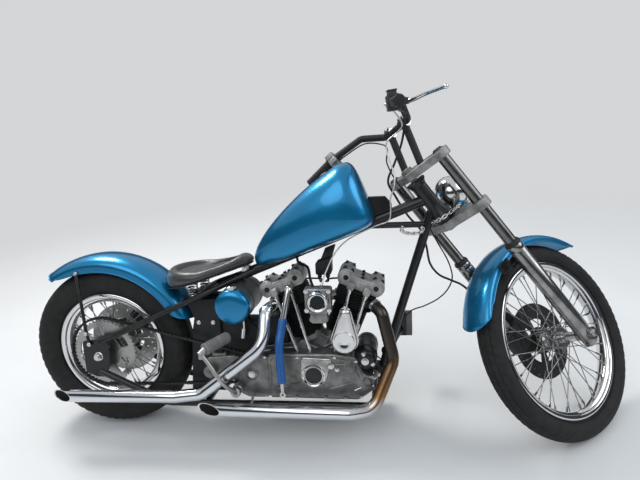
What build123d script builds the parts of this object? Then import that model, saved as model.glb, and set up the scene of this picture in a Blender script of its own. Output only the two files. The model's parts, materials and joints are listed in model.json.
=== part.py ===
from build123d import *

import math
import os

# A rigid-frame chopper motorcycle with a V-twin engine, in millimetres.
# It is modelled upright and straight, in the bike's own frame: X forward, Y to its left, Z up, with the
# rear axle above the origin. At the end each piece is placed as the machine parks: steering turned left
# onto its stop, leaning left on its side stand, both tyres on the floor at Z = 0.

# How it stands
lean_deg = 7.5
steering_stop_deg = 45.0
stand_fold_deg = 108.0

# Overall sizes
wheelbase = 1700.0
rake_deg = 37.5
fork_offset = 45.0
fork_length = 808.0
leg_spacing = 250.0

# Small gaps
seat_gap = 0.2
running_gap = 5.0
shaft_gap = 0.08

# Rear wheel, 16 inch
rear_radius = 322.0
rear_width = 130.0
rear_crown_radius = 105.0
rear_shoulder = 50.0
rear_bead = 203.0
rear_flange = 219.0
rear_rim_inside = 38.0
rear_well = 188.0

# Front wheel, 21 inch
front_radius = 350.0
front_width = 90.0
front_crown_radius = 48.0
front_shoulder = 38.0
front_bead = 266.0
front_flange = 279.5
front_rim_inside = 25.0
front_well = 255.0

rim_wall = 4.0
bead_ledge = 10.0
spoke_count = 40
spoke_radius = 1.8
spoke_sweep_deg = 62.0

# Hubs and axles
axle_radius = 9.5
hub_barrel = 24.0
hub_flange_radius = 40.0
hub_flange_y = 30.0
hub_flange_thick = 5.0
hub_half = 46.0
disc_thick = 5.0
rear_disc_radius = 145.0
rear_disc_y = 66.0
front_disc_radius = 140.0
front_disc_y = 60.0
disc_hole = 4.0
disc_carrier_radius = 78.0

# Frame tubes
neck_radius = 27.0
neck_wall = 6.0
neck_low = 598.0
neck_high = 768.0
backbone_radius = 19.0
backbone_on_neck = 690.0
backbone_end_x = 560.0
backbone_end_z = 607.0
down_tube_radius = 16.0
down_tube_foot_x = 1040.0
down_tube_foot_z = 142.0
down_tube_on_neck = 661.6
brace_radius = 11.0
brace_z = 779.0
rail_radius = 12.7
rail_z = 135.0
rail_front_y = 108.0
rail_rear_y = 122.0
rail_bend_x = 255.0
stay_radius = 11.0
stay_bend_x = 430.0
stay_bend_y = 88.0
stay_bend_z = 556.0
post_radius = 14.0
plate_thick = 8.0
spring_bar_x = 355.0
spring_bar_radius = 9.0

# Front end
tube_radius = 20.5
slider_radius = 27.0
slider_top = 400.0
slider_end = 42.0
tree_wall = 12.0
lower_tree_low = 560.0
lower_tree_high = 592.0
upper_tree_low = 776.0
upper_tree_high = 804.0
stem_radius = 12.7
bar_radius = 12.7
riser_radius = 13.0
riser_y = 42.0
grip_radius = 17.0
lamp_out = 101.8
lamp_height = 652.2
lamp_radius = 57.0
lamp_depth = 100.0

hose_radius = 4.0
cable_radius = 2.5

# Engine
crank_x = 857.0
crank_z = 232.0
vee_half_deg = 22.5
barrel_core = 48.0
barrel_fin = 64.0
barrel_low = 158.0
barrel_high = 282.0
head_high = 350.0
fin_pitch = 12.0
fin_thick = 3.0
rocker_high = 408.0
pushrod_out = 80.0
pushrod_foot = 96.0
pushrod_spread = 30.0
case_left = 75.0
case_right = -70.0
cam_cover_face = -130.0
primary_face = 122.0
case_floor = 165.0

# Chain drive, on the right side
chain_clear = 9.0
chain_wide = 16.0
chain_y = -(rear_width / 2 + chain_clear + chain_wide / 2)
chain_half_depth = 8.0
rear_sprocket_radius = 128.0
sprocket_thick = 6.0
small_sprocket_radius = 46.0
small_sprocket_x = 575.0
small_sprocket_z = 262.0

# Exhaust pipes
pipe_radius = 22.2
pipe_wall = 1.8
pipe_bore_depth = 70.0

# Fenders
fender_thick = 3.0
rear_fender_radius = 376.0
rear_fender_edge = 318.0
rear_fender_half = 80.0
rear_fender_front_deg = 20.0
rear_fender_tail_deg = 128.0
front_fender_radius = 384.0
front_fender_edge = 350.0
front_fender_half = 62.0
front_fender_front_deg = 62.0
front_fender_rear_deg = 170.0

# Fuel tank, along the backbone: u forward along it, w up from its axis
tank_floor = 14.0
tank_start_x = 613.0
tank_sections = [
    # u, half width, w at the top
    (10.0, 16.0, 48.0),
    (140.0, 76.0, 141.0),
    (300.0, 114.0, 206.0),
    (440.0, 124.0, 231.0),
    (500.0, 96.0, 205.0),
    (518.0, 52.0, 160.0),
]
tank_corner_share = 0.42

# Oil tank
oil_tank_x = 540.0
oil_tank_z = 514.0
oil_tank_radius = 66.0
oil_tank_right = -140.0
oil_tank_left = 100.0

# Side stand
stand_pivot = (800.0, 152.0, 126.0)
stand_leg_dir = (0.35, 0.75, -0.56)
stand_fold_dir = (-0.985, 0.10, 0.14)
stand_leg_radius = 9.0
stand_eye_radius = 17.0
stand_eye_height = 20.0
stand_pin_radius = 8.0
stand_gap = 1.0
stand_foot_radius = 24.0
stand_foot_thick = 8.0

rake = math.radians(rake_deg)
lean = math.radians(lean_deg)
vee = math.radians(vee_half_deg)
leg_y = leg_spacing / 2

rear_axle = Vector(0, 0, rear_radius)
front_axle = Vector(wheelbase, 0, front_radius)
fork_up = Vector(-math.sin(rake), 0, math.cos(rake))
fork_forward = Vector(math.cos(rake), 0, math.sin(rake))
fork_foot = front_axle - fork_forward * fork_offset
fork_frame = Plane(origin=fork_foot, x_dir=fork_forward, z_dir=fork_up)


def on_axis(height):
    """A point of the steering axis, measured up from the front axle's level."""
    return fork_foot + fork_up * height


def rod(start, end, radius):
    """A round bar between two points."""
    start, end = Vector(*start), Vector(*end)
    run = end - start
    stock = Cylinder(radius, run.length, align=(Align.CENTER, Align.CENTER, Align.MIN))
    return Plane(origin=start, z_dir=run) * stock


def bent_tube(points, radius, bends):
    """A round tube, as a solid, along straight runs joined by arcs."""
    path = FilletPolyline(*points, radius=bends)
    return sweep(Plane(origin=path @ 0, z_dir=path % 0) * Circle(radius), path)


def across(x, z, radius, y_low, y_high):
    """A round bar along Y."""
    return rod((x, y_low, z), (x, y_high, z), radius)


def slab(outline, y_low, y_high):
    """A flat side view, drawn as a face in X and Z, made thick along Y."""
    return extrude(Pos(0, y_low, 0) * (Plane.XZ * outline), amount=y_high - y_low, dir=(0, 1, 0))


def rounded(points, radius):
    """A closed outline of straight runs with rounded corners."""
    return fillet(Polygon(*points, align=None).vertices(), radius)


def box_between(low, high):
    """A plain block from its lowest to its highest corner."""
    size = [b - a for a, b in zip(low, high)]
    return Pos(*low) * Box(*size, align=(Align.MIN, Align.MIN, Align.MIN))


def spun(profile):
    """A profile of Y and radius, turned about the Y axis."""
    return revolve(Plane.YZ * profile, Axis.Y)


def pair(shape):
    """The piece and its mirror image on the other side of the bike."""
    return [shape, mirror(shape, Plane.XZ)]


def largest(shape):
    """The largest solid that a cut leaves."""
    return shape.solids().sort_by(SortBy.VOLUME)[-1]


def tyre(radius, width, crown, shoulder, bead, flange, inside):
    """A tyre as a ring: beads between the rim's flanges, bulging walls, round crown."""
    half = inside - seat_gap
    drop = crown - math.sqrt(crown**2 - shoulder**2)
    wide_at = bead + 0.52 * (radius - bead)
    low, top = bead + seat_gap, flange + seat_gap
    outline = [
        Line((-half, low), (half, low)),
        Line((half, low), (half, top)),
        ThreePointArc((half, top), (width / 2, wide_at), (shoulder, radius - drop)),
        ThreePointArc((shoulder, radius - drop), (0, radius), (-shoulder, radius - drop)),
        ThreePointArc((-shoulder, radius - drop), (-width / 2, wide_at), (-half, top)),
        Line((-half, top), (-half, low)),
    ]
    return spun(make_face(outline))


def rim(bead, flange, inside, well):
    """A rolled rim: two flanges, two bead seats and a dropped well."""
    outside = inside + rim_wall
    ledge = inside - bead_ledge
    points = [
        (-outside, flange),
        (-inside, flange),
        (-inside, bead),
        (-ledge, bead),
        (-ledge + rim_wall, well),
        (ledge - rim_wall, well),
        (ledge, bead),
        (inside, bead),
        (inside, flange),
        (outside, flange),
        (outside, bead - rim_wall),
        (ledge + rim_wall, bead - rim_wall),
        (ledge, well - rim_wall),
        (-ledge, well - rim_wall),
        (-ledge - rim_wall, bead - rim_wall),
        (-outside, bead - rim_wall),
    ]
    return spun(Polygon(*points, align=None))


def hub(disc_y):
    """A barrel with two spoke flanges and a seat for the brake disc, bored for the axle."""
    bore = axle_radius + shaft_gap
    near, far = hub_flange_y - hub_flange_thick / 2, hub_flange_y + hub_flange_thick / 2
    end = disc_y - disc_thick / 2
    points = [
        (-hub_half, bore),
        (-hub_half, hub_barrel * 0.8),
        (-far, hub_barrel * 0.8),
        (-far, hub_flange_radius),
        (-near, hub_flange_radius),
        (-near, hub_barrel),
        (near, hub_barrel),
        (near, hub_flange_radius),
        (far, hub_flange_radius),
        (far, hub_barrel * 0.8),
        (end, hub_barrel * 0.8),
        (end, bore),
    ]
    return spun(Polygon(*points, align=None))


def spokes(well, inside):
    """Crossed wire spokes from both hub flanges to the rim."""
    wires = []
    rim_radius = well - rim_wall - seat_gap - 0.5
    hub_radius = hub_flange_radius - 2 * spoke_radius
    for i in range(spoke_count):
        side = 1 if i % 2 == 0 else -1
        way = 1 if (i // 2) % 2 == 0 else -1
        rim_angle = math.radians(360 / spoke_count * i)
        hub_angle = rim_angle - way * math.radians(spoke_sweep_deg)
        off_flange = hub_flange_thick / 2 + spoke_radius + (1.7 if way > 0 else seat_gap)
        hub_y = side * (hub_flange_y + way * off_flange)
        rim_y = side * (inside * 0.18 + (4.0 if way > 0 else 0.0))
        start = (hub_radius * math.sin(hub_angle), hub_y, hub_radius * math.cos(hub_angle))
        end = (rim_radius * math.sin(rim_angle), rim_y, rim_radius * math.cos(rim_angle))
        wires.append(rod(start, end, spoke_radius))
    return wires


def brake_disc(radius, y):
    """A drilled brake disc with a bolted carrier, open at the axle."""
    low = y - disc_thick / 2
    disc = across(0, 0, radius, low, low + disc_thick)
    disc -= across(0, 0, hub_barrel * 0.6, low - 1, low + disc_thick + 1)
    for ring, count in ((0.70, 12), (0.86, 18)):
        for i in range(count):
            turn = math.radians(360 / count * i)
            x, z = radius * ring * math.sin(turn), radius * ring * math.cos(turn)
            disc -= across(x, z, disc_hole, low - 1, low + disc_thick + 1)
    return disc


def fender(radius, edge, half, front_deg, rear_deg, wheel_centre):
    """A pressed shell that follows its wheel: two skirts and a rounded crown."""
    turn = edge + (radius - edge) * 0.35
    inner, inner_half = radius - fender_thick, half - fender_thick
    shoulder = half * 0.93
    outline = [
        Line((-half, edge), (-half, turn)),
        ThreePointArc((-half, turn), (0, radius), (half, turn)),
        Line((half, turn), (half, edge)),
        Line((half, edge), (inner_half, edge)),
        Line((inner_half, edge), (inner_half, turn - fender_thick)),
        ThreePointArc((inner_half, turn - fender_thick), (0, inner), (-inner_half, turn - fender_thick)),
        Line((-inner_half, turn - fender_thick), (-inner_half, edge)),
        Line((-inner_half, edge), (-half, edge)),
    ]
    shell = revolve(Plane.YZ * make_face(outline), Axis.Y, revolution_arc=rear_deg - front_deg)
    # A turn about Y carries +Z towards +X, so the shell is turned back to its front angle.
    first = shell.rotate(Axis.Y, 90 - rear_deg)
    return Pos(*wheel_centre) * first


# Wheels, each modelled about its own axle
rear_wheel = {
    "rear_tyre": [
        tyre(rear_radius, rear_width, rear_crown_radius, rear_shoulder, rear_bead, rear_flange, rear_rim_inside)
    ],
    "rear_rim": [rim(rear_bead, rear_flange, rear_rim_inside, rear_well)],
    "rear_hub": [hub(rear_disc_y)],
    "rear_spokes": spokes(rear_well, rear_rim_inside),
    "rear_brake_disc": [brake_disc(rear_disc_radius, rear_disc_y)],
}
front_wheel = {
    "front_tyre": [
        tyre(
            front_radius, front_width, front_crown_radius, front_shoulder, front_bead, front_flange,
            front_rim_inside,
        )
    ],
    "front_rim": [rim(front_bead, front_flange, front_rim_inside, front_well)],
    "front_hub": [hub(front_disc_y)],
    "front_spokes": spokes(front_well, front_rim_inside),
    "front_brake_disc": [brake_disc(front_disc_radius, front_disc_y)],
}

# The rear sprocket turns with the rear wheel; its carrier reaches in to the hub's end
sprocket_low = chain_y - sprocket_thick / 2
sprocket = across(0, 0, rear_sprocket_radius, sprocket_low, sprocket_low + sprocket_thick)
sprocket += across(0, 0, hub_barrel * 1.6, sprocket_low, -hub_half)
sprocket -= across(0, 0, axle_radius + shaft_gap, sprocket_low - 1, -hub_half + 1)
window_mid, window_half = rear_sprocket_radius * 0.66, rear_sprocket_radius * 0.15
for i in range(5):
    arc = CenterArc((0, 0), window_mid, 72 * i + 14, 44)
    sprocket -= slab(trace(arc, 2 * window_half), sprocket_low - 1, sprocket_low + sprocket_thick + 1)
rear_wheel["rear_sprocket"] = [sprocket]

nodes = {}
for name, shapes in rear_wheel.items():
    nodes[name] = ("frame", [Pos(*rear_axle) * s for s in shapes])
for name, shapes in front_wheel.items():
    nodes[name] = ("steered", [Pos(*front_axle) * s for s in shapes])

# Frame tubes, each coped to the ones it is welded to
neck_outside = rod(on_axis(neck_low), on_axis(neck_high), neck_radius)
neck = neck_outside - rod(on_axis(neck_low - 1), on_axis(neck_high + 1), neck_radius - neck_wall)
for low, high in ((neck_low, neck_low + 14), (neck_high - 14, neck_high)):
    cup = rod(on_axis(low), on_axis(high), neck_radius + 3)
    neck += cup - rod(on_axis(low - 1), on_axis(high + 1), stem_radius + shaft_gap)

backbone_top = on_axis(backbone_on_neck)
backbone_slope = math.atan2(backbone_top.Z - backbone_end_z, backbone_top.X - backbone_end_x)
backbone_end = Vector(backbone_end_x, 0, backbone_end_z)
backbone_solid = rod(backbone_end, backbone_top, backbone_radius)
backbone = backbone_solid - neck_outside


def backbone_height(x):
    """Height of the backbone's axis above the floor line, at a place along the bike."""
    return backbone_end_z + (x - backbone_end_x) * math.tan(backbone_slope)


down_top = on_axis(down_tube_on_neck)
down_slope = (down_top.X - down_tube_foot_x) / (down_top.Z - down_tube_foot_z)
down_head = Vector(down_tube_foot_x + (835 - down_tube_foot_z) * down_slope, 0, 835)
down_foot = Vector(down_tube_foot_x, 0, down_tube_foot_z)
down_solid = rod(down_foot, down_head, down_tube_radius)


def down_tube_x(z):
    """Place of the down tube's axis along the bike, at a height."""
    return down_tube_foot_x + (z - down_tube_foot_z) * down_slope


cross_front = across(down_tube_foot_x, rail_z, rail_radius, -rail_front_y, rail_front_y)
down_tube = down_solid - neck_outside - backbone_solid

brace_back_x = backbone_end_x + (brace_z - backbone_end_z) / math.tan(backbone_slope)
brace = rod((brace_back_x, 0, brace_z), (down_tube_x(brace_z), 0, brace_z), brace_radius)
down_tube += brace - backbone_solid
down_tube += cross_front

plate_outline = rounded(
    [
        (-62, rear_radius - 66),
        (-62, rear_radius + 58),
        (30, rear_radius + 70),
        (44, rear_radius + 40),
        (34, rear_radius - 40),
        (20, rear_radius - 84),
        (-20, rear_radius - 84),
    ],
    9,
)
plate_low = rail_rear_y - plate_thick / 2
axle_plate = slab(plate_outline, plate_low, plate_low + plate_thick)
axle_plate -= across(0, rear_radius, axle_radius + seat_gap, plate_low - 1, plate_low + plate_thick + 1)

rail = bent_tube(
    [
        (down_tube_foot_x, rail_front_y, rail_z),
        (rail_bend_x, rail_rear_y - 3, rail_z),
        (-4, rail_rear_y, rear_radius - 62),
    ],
    rail_radius,
    90,
)
rail = rail - cross_front + axle_plate

stay = bent_tube(
    [
        (606, 10, backbone_height(606)),
        (stay_bend_x, stay_bend_y, stay_bend_z),
        (6, rail_rear_y, rear_radius + 52),
    ],
    stay_radius,
    110,
)
stay = stay - axle_plate - backbone_solid


def stay_y(x):
    """How far out the stay's axis lies behind its bend."""
    return rail_rear_y - (rail_rear_y - stay_bend_y) * (x - 6) / (stay_bend_x - 6)


def stay_z(x):
    """Height of the stay's axis behind its bend."""
    return rear_radius + 52 + (stay_bend_z - rear_radius - 52) * (x - 6) / (stay_bend_x - 6)


post_top_z = stay_z(stay_bend_x - 22)
post_x = stay_bend_x - 22
top_cross = across(post_x, post_top_z, post_radius - 2, -stay_y(post_x), stay_y(post_x))
low_cross = across(post_x, rail_z, post_radius - 2, -rail_rear_y, rail_rear_y)
seat_post = rod((post_x, 0, rail_z), (post_x, 0, post_top_z), post_radius)
seat_post = top_cross + low_cross + seat_post
spring_bar = across(
    spring_bar_x, stay_z(spring_bar_x), spring_bar_radius, -stay_y(spring_bar_x), stay_y(spring_bar_x)
)
for tube in (*pair(rail), *pair(stay)):
    seat_post = largest(seat_post - tube)
    spring_bar = largest(spring_bar - tube)
rear_axle_bar = across(0, rear_radius, axle_radius, -rail_rear_y - 24, rail_rear_y + 24)
nut_low = rail_rear_y + plate_thick / 2 + seat_gap
for nut in pair(slab(Pos(0, rear_radius) * RegularPolygon(16, 6), nut_low, nut_low + 12)):
    rear_axle_bar += nut

nodes["frame_neck"] = ("frame", [neck])
nodes["frame_backbone"] = ("frame", [backbone])
nodes["frame_lower_rails"] = ("frame", pair(rail))
nodes["frame_stays"] = ("frame", pair(stay))
nodes["rear_axle"] = ("frame", [rear_axle_bar])

# Fuel tank, astride the backbone
tank_root = Vector(tank_start_x, 0, backbone_height(tank_start_x))
tank_along = Vector(math.cos(backbone_slope), 0, math.sin(backbone_slope))
tank_up = Vector(-math.sin(backbone_slope), 0, math.cos(backbone_slope))
tank_frame = Plane(origin=tank_root, x_dir=tank_along, z_dir=tank_up)
sections = []
for u, half, top in tank_sections:
    height = top - tank_floor
    corner = tank_corner_share * min(2 * half, height)
    sketch = RectangleRounded(2 * half, height, corner)
    station = Plane(origin=(u, 0, tank_floor + height / 2), x_dir=(0, 1, 0), z_dir=(1, 0, 0))
    sections.append(station * sketch)
tank = loft(sections)
tank_nose = tank_sections[-1][0]
tank += box_between((tank_nose - 40, -16, tank_floor + 6), (tank_nose + 26, 16, tank_floor + 60))
tank = tank_frame * tank
tank -= rod(backbone_end, backbone_top, backbone_radius + seat_gap)
nodes["fuel_tank"] = ("frame", [tank])

# Solo seat on its hinge and two coil springs
seat_side = make_face(
    [
        Line((606, 652), (374, 592)),
        ThreePointArc((374, 592), (320, 584), (262, 606)),
        ThreePointArc((262, 606), (256, 622), (270, 642)),
        ThreePointArc((270, 642), (400, 640), (520, 668)),
        ThreePointArc((520, 668), (570, 688), (600, 684)),
        ThreePointArc((600, 684), (612, 668), (606, 652)),
    ]
)
seat_rear_x, seat_rear_half = 385.0, 125.0
seat_nose_x, seat_nose_half = 556.0, 44.0
seat_rear_circle = Pos(seat_rear_x, 0) * Circle(seat_rear_half)
seat_nose_circle = Pos(seat_nose_x, 0) * Circle(seat_nose_half)
seat_plan = make_hull(seat_rear_circle.edges() + seat_nose_circle.edges())
seat = slab(seat_side, -seat_rear_half - 5, seat_rear_half + 5)
seat &= extrude(Pos(0, 0, 500) * seat_plan, amount=300, dir=(0, 0, 1))
nodes["seat"] = ("frame", [seat])


def seat_floor(x):
    """Height of the seat's flat underside."""
    return 592 + (x - 374) * 60 / 232


spring_foot = stay_z(spring_bar_x) + spring_bar_radius
springs = [
    rod((spring_bar_x + 18, y, spring_foot - 2), (spring_bar_x + 18, y, seat_floor(spring_bar_x) - 4), 20)
    for y in (-58, 58)
]
springs = [s - spring_bar for s in springs]
hinge_x = 566.0
hinge = box_between(
    (hinge_x - 16, -15, backbone_height(hinge_x)), (hinge_x + 16, 15, seat_floor(hinge_x - 16) - seat_gap)
)
hinge -= backbone_solid
nodes["seat_mounts"] = ("frame", [*springs, hinge])

# Rear fender with its struts and the block that ties it to the spring bar
rear_fender = fender(
    rear_fender_radius,
    rear_fender_edge,
    rear_fender_half,
    rear_fender_front_deg,
    rear_fender_tail_deg,
    rear_axle,
)
nodes["rear_fender"] = ("frame", [rear_fender])
bar_angle = math.atan2(stay_z(spring_bar_x) - rear_radius, spring_bar_x)
tie_out = math.hypot(spring_bar_x, stay_z(spring_bar_x) - rear_radius)
tie_frame = Plane(
    origin=rear_axle, x_dir=(math.cos(bar_angle), 0, math.sin(bar_angle)), z_dir=(0, 1, 0)
)
tie = tie_frame * box_between(
    (rear_fender_radius - 6, -12, -14), (tie_out, 12, 14)
)
tie -= rod((0, -20, rear_radius), (0, 20, rear_radius), rear_fender_radius + seat_gap)
tie -= spring_bar


def strut():
    """A flat bar from the rear fender's skirt down to the outside of the axle plate."""
    top = Vector(-78, rear_fender_half + 3.2, rear_radius + 316)
    foot = Vector(-30, rail_rear_y + plate_thick / 2 + 3, rear_radius + 48)
    knee = Vector(-38, rail_rear_y + plate_thick / 2 + 3, rear_radius + 92)
    run = rod(top, knee, 6)
    return run + rod(knee, foot, 6) + Pos(*knee) * Sphere(6)


nodes["rear_fender_struts"] = ("frame", [*pair(strut() - axle_plate - rear_fender), tie])

# Engine
case_outline = rounded(
    [
        (530, 190),
        (560, case_floor),
        (985, case_floor),
        (1030, 205),
        (1006, 255),
        (950, 300),
        (935, 372),
        (857, 330),
        (779, 372),
        (745, 345),
        (640, 330),
        (545, 300),
    ],
    12,
)
engine_case = slab(case_outline, case_right, case_left)
nodes["engine_case"] = ("frame", [engine_case])

cam_outline = rounded(
    [
        (652, 168),
        (990, 168),
        (1052, 214),
        (1056, 262),
        (1010, 258),
        (975, 330),
        (900, 342),
        (652, 338),
    ],
    18,
)
cam_cover = slab(cam_outline, cam_cover_face, case_right)
cam_cover += across(827, 262, 50, cam_cover_face - 8, cam_cover_face + 4)
cover_outline = rounded([(545, 185), (580, 168), (660, 168), (660, 336), (590, 330), (545, 290)], 14)
cam_cover += slab(cover_outline, cam_cover_face, chain_y - chain_wide / 2 - running_gap)
nodes["cam_cover"] = ("frame", [cam_cover])

primary_circles = (Pos(crank_x + 20, crank_z + 24) * Circle(96)).edges()
primary_circles += (Pos(620, 262) * Circle(84)).edges()
primary = slab(make_hull(primary_circles), case_left, primary_face)
nodes["primary_cover"] = ("frame", [fillet(primary.faces().sort_by(Axis.Y)[-1].edges(), 14)])


def cylinder_frame(way):
    """The frame of one cylinder: Z up along the bore, X forward, from the crank's centre."""
    up = (way * math.sin(vee), 0, math.cos(vee))
    return Plane(origin=(crank_x, 0, crank_z), x_dir=(math.cos(vee), 0, -way * math.sin(vee)), z_dir=up)


def barrel():
    """A finned cylinder barrel along Z."""
    points = [(0, barrel_low), (barrel_core, barrel_low)]
    fins = int((barrel_high - barrel_low - fin_pitch) // fin_pitch)
    for i in range(fins):
        low = barrel_low + fin_pitch * (i + 0.75)
        points += [(barrel_core, low), (barrel_fin, low), (barrel_fin, low + fin_thick)]
        points += [(barrel_core, low + fin_thick)]
    points += [(barrel_core, barrel_high), (0, barrel_high)]
    return revolve(Plane.XZ * Polygon(*points, align=None), Axis.Z)


def head():
    """A finned cylinder head: a core with flat rounded plates round it."""
    low = barrel_high
    core = Pos(0, 0, low) * extrude(RectangleRounded(112, 104, 20), amount=head_high - low)
    fins = int((head_high - low) // fin_pitch)
    for i in range(fins):
        z = low + fin_pitch * (i + 0.4)
        core += Pos(0, 0, z) * extrude(RectangleRounded(146, 138, 34), amount=fin_thick)
    return core


def rocker_box():
    """A rocker box: two round lobes over the valves, with a cover on each."""
    body = extrude(RectangleRounded(150, 112, 30), amount=rocker_high - head_high - 18)
    for x in (-46, 46):
        body += Pos(x, 0, 0) * extrude(RectangleRounded(66, 128, 24), amount=rocker_high - head_high)
    for x in (-pushrod_spread, pushrod_spread):
        body += box_between((x - 14, -pushrod_out - 12, 0), (x + 14, -40, 28))
    return Pos(0, 0, head_high) * body


middle_gap = box_between((crank_x - 2, -200, 0), (crank_x + 2, 200, 900))
barrels, heads, rockers = [], [], []
for way in (-1, 1):
    frame_of = cylinder_frame(way)
    barrels.append(frame_of * barrel() - middle_gap - engine_case)
    heads.append(frame_of * head())
    rockers.append(frame_of * rocker_box())
half_space = 400.0
barrels = [
    b & Pos(crank_x + way * (half_space / 2 + 2), 0, 500) * Box(half_space, 400, 1000)
    for way, b in zip((-1, 1), barrels)
]
nodes["cylinder_barrels"] = ("frame", barrels)
nodes["cylinder_heads"] = ("frame", heads)
nodes["rocker_boxes"] = ("frame", rockers)

pushrods = []
for way, rocker in zip((-1, 1), rockers):
    for x, foot_x in ((-pushrod_spread, way * 58 - 22), (pushrod_spread, way * 58 + 22)):
        top = (cylinder_frame(way).location * Pos(x, -pushrod_out, head_high + 6)).position
        tube = rod((crank_x + foot_x, -pushrod_foot, case_floor + 140), top, 8)
        pushrods.append(largest(tube - cam_cover - rocker))
nodes["pushrod_tubes"] = ("frame", pushrods)

manifold = rod((crank_x - 90, 0, 522), (crank_x + 90, 0, 522), 20)
manifold += rod((crank_x, 0, 522), (crank_x, -96, 530), 22)
for solid in (*heads, *barrels):
    manifold -= solid
manifold = largest(manifold)
carburettor = box_between((crank_x - 46, -152, 494), (crank_x + 46, -96, 590))
carburettor = fillet(carburettor.edges().filter_by(Axis.Y), 16)
carburettor += across(crank_x + 2, 546, 34, -172, -150)
nodes["carburettor"] = ("frame", [carburettor + manifold])

generator = across(1011, 307, 42, case_right - 40, case_left)
generator -= engine_case
generator -= cam_cover
generator -= down_solid
nodes["generator"] = ("frame", [largest(generator)])

pear = make_hull((Pos(944, 400) * Circle(46)).edges() + (Pos(950, 500) * Circle(18)).edges())
pear_cover = slab(pear, -166, -138) + across(944, 400, 8, -140, -52)
for solid in barrels:
    pear_cover -= solid
pear_cover = largest(pear_cover)
nodes["pear_cover"] = ("frame", [pear_cover])

coil = box_between((838, -34, 606), (892, 34, backbone_height(840)))
coil -= rod(backbone_end, backbone_top, backbone_radius + seat_gap)
coil -= box_between((838, -40, backbone_height(838) - 8), (892, 40, 900))
nodes["ignition_coil"] = ("frame", [coil])

small_low = chain_y - sprocket_thick / 2
small_sprocket = across(small_sprocket_x, small_sprocket_z, small_sprocket_radius, small_low, small_low + sprocket_thick)
small_sprocket += across(small_sprocket_x, small_sprocket_z, 15, small_low, case_right)
nodes["transmission_sprocket"] = ("frame", [small_sprocket])


def chain_loop(grow):
    """The chain's side view, as the taut band round both sprockets."""
    big = Pos(0, rear_radius) * Circle(rear_sprocket_radius + grow)
    small = Pos(small_sprocket_x, small_sprocket_z) * Circle(small_sprocket_radius + grow)
    return make_hull(big.edges() + small.edges())


chain_inner = 1.0
chain = slab(
    chain_loop(chain_inner + 2 * chain_half_depth) - chain_loop(chain_inner),
    chain_y - chain_wide / 2,
    chain_y + chain_wide / 2,
)
nodes["drive_chain"] = ("frame", [chain])

# Engine mounts
front_mount = box_between((1010, -30, 205), (1075, 30, 250)) - engine_case - generator
down_tube += largest(front_mount)
for side in (-1, 1):
    rear_mount = box_between((post_x, side * 30 - 4, 205), (560, side * 30 + 4, 275)) - engine_case
    seat_post += largest(rear_mount)
seat_post += across(post_x, 240, 10, -34, 34)

# Exhaust pipes with open ends
rear_pipe = bent_tube(
    [
        (678, -40, 508),
        (662, -124, 498),
        (662, -182, 392),
        (430, -200, 218),
        (330, -202, 205),
        (-137, -202, 196),
    ],
    pipe_radius,
    (45, 48, 62, 90),
)
front_pipe = bent_tube(
    [
        (1024, -50, 502),
        (1050, -66, 500),
        (1074, -96, 484),
        (1112, -112, 318),
        (1040, -176, 160),
        (960, -202, 158),
        (427, -202, 157),
    ],
    pipe_radius,
    (16, 28, 70, 70, 70),
)
for solid in (*heads, *rockers, *barrels):
    rear_pipe -= solid
    front_pipe -= solid
bore = pipe_radius - pipe_wall
rear_pipe -= rod((-138, -202, 196), (-137 + pipe_bore_depth, -202, 197.4), bore)
front_pipe -= rod((426, -202, 157), (427 + pipe_bore_depth, -202, 157.1), bore)
nodes["exhaust_pipes"] = ("frame", [rear_pipe, front_pipe])

# Oil tank and its bracket to the seat post
oil_tank = across(oil_tank_x, oil_tank_z, oil_tank_radius, oil_tank_right, oil_tank_left)
oil_tank = fillet(oil_tank.edges(), 14)
oil_tank += rod((oil_tank_x, -112, oil_tank_z), (oil_tank_x, -112, oil_tank_z + oil_tank_radius + 12), 15)
oil_bracket = box_between((post_x, -12, oil_tank_z - 20), (oil_tank_x, 12, oil_tank_z + 20))
seat_post += largest(oil_bracket - oil_tank)
nodes["oil_tank"] = ("frame", [oil_tank])

# Kick starter
kick_y = cam_cover_face - 20
kick = across(548, 214, 16, cam_cover_face - 32, cam_cover_face - seat_gap)
kick += rod((548, kick_y, 214), (452, kick_y, 402), 7)
kick += rod((450, kick_y - 50, 408), (468, kick_y + 34, 412), 17)
nodes["kick_starter"] = ("frame", [kick])

# Blue-sleeved lever, clamped to the rear cylinder head
lever = rod((748, -pushrod_out - 12 - seat_gap, 574), (748, -112, 574), 12)
lever += rod((748, -110, 575), (728, -140, 470), 9)
lever += rod((728, -140, 470), (718, -168, 400), 12) + rod((718, -168, 400), (724, -194, 268), 12)
lever += rod((724, -194, 268), (726, -200, 222), 7)
lever -= rockers[0]
nodes["sleeved_lever"] = ("frame", [largest(lever)])

# Left forward foot peg
peg_x = 1150.0
peg_z = 300.0
peg_arm = rod((down_tube_x(peg_z), 0, peg_z), (peg_x, 222, peg_z), 9) - down_solid
peg_arm = largest(peg_arm)
peg = peg_arm + Pos(peg_x + 4, 234, 323) * Box(44, 26, 112)
nodes["foot_peg"] = ("frame", [peg])

# Rear caliper on its bracket, round the edge of the brake disc
caliper_x, caliper_z = 92.0, rear_radius + 92.0
caliper = Pos(caliper_x, rear_disc_y, caliper_z) * Rot(0, 45, 0) * Box(96, 46, 62)
slot = disc_thick / 2 + running_gap
caliper -= across(0, rear_radius, rear_disc_radius + running_gap, rear_disc_y - slot, rear_disc_y + slot)
caliper += rod((caliper_x - 6, rear_disc_y + 18, caliper_z - 8), (34, rail_rear_y - 4.5, rear_radius + 34), 8)
caliper -= axle_plate
for tube in pair(stay):
    caliper -= tube
nodes["rear_caliper"] = ("frame", [largest(caliper)])
nodes["frame_down_tube"] = ("frame", [down_tube])
nodes["frame_cross_tubes"] = ("frame", [seat_post, spring_bar])

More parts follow.
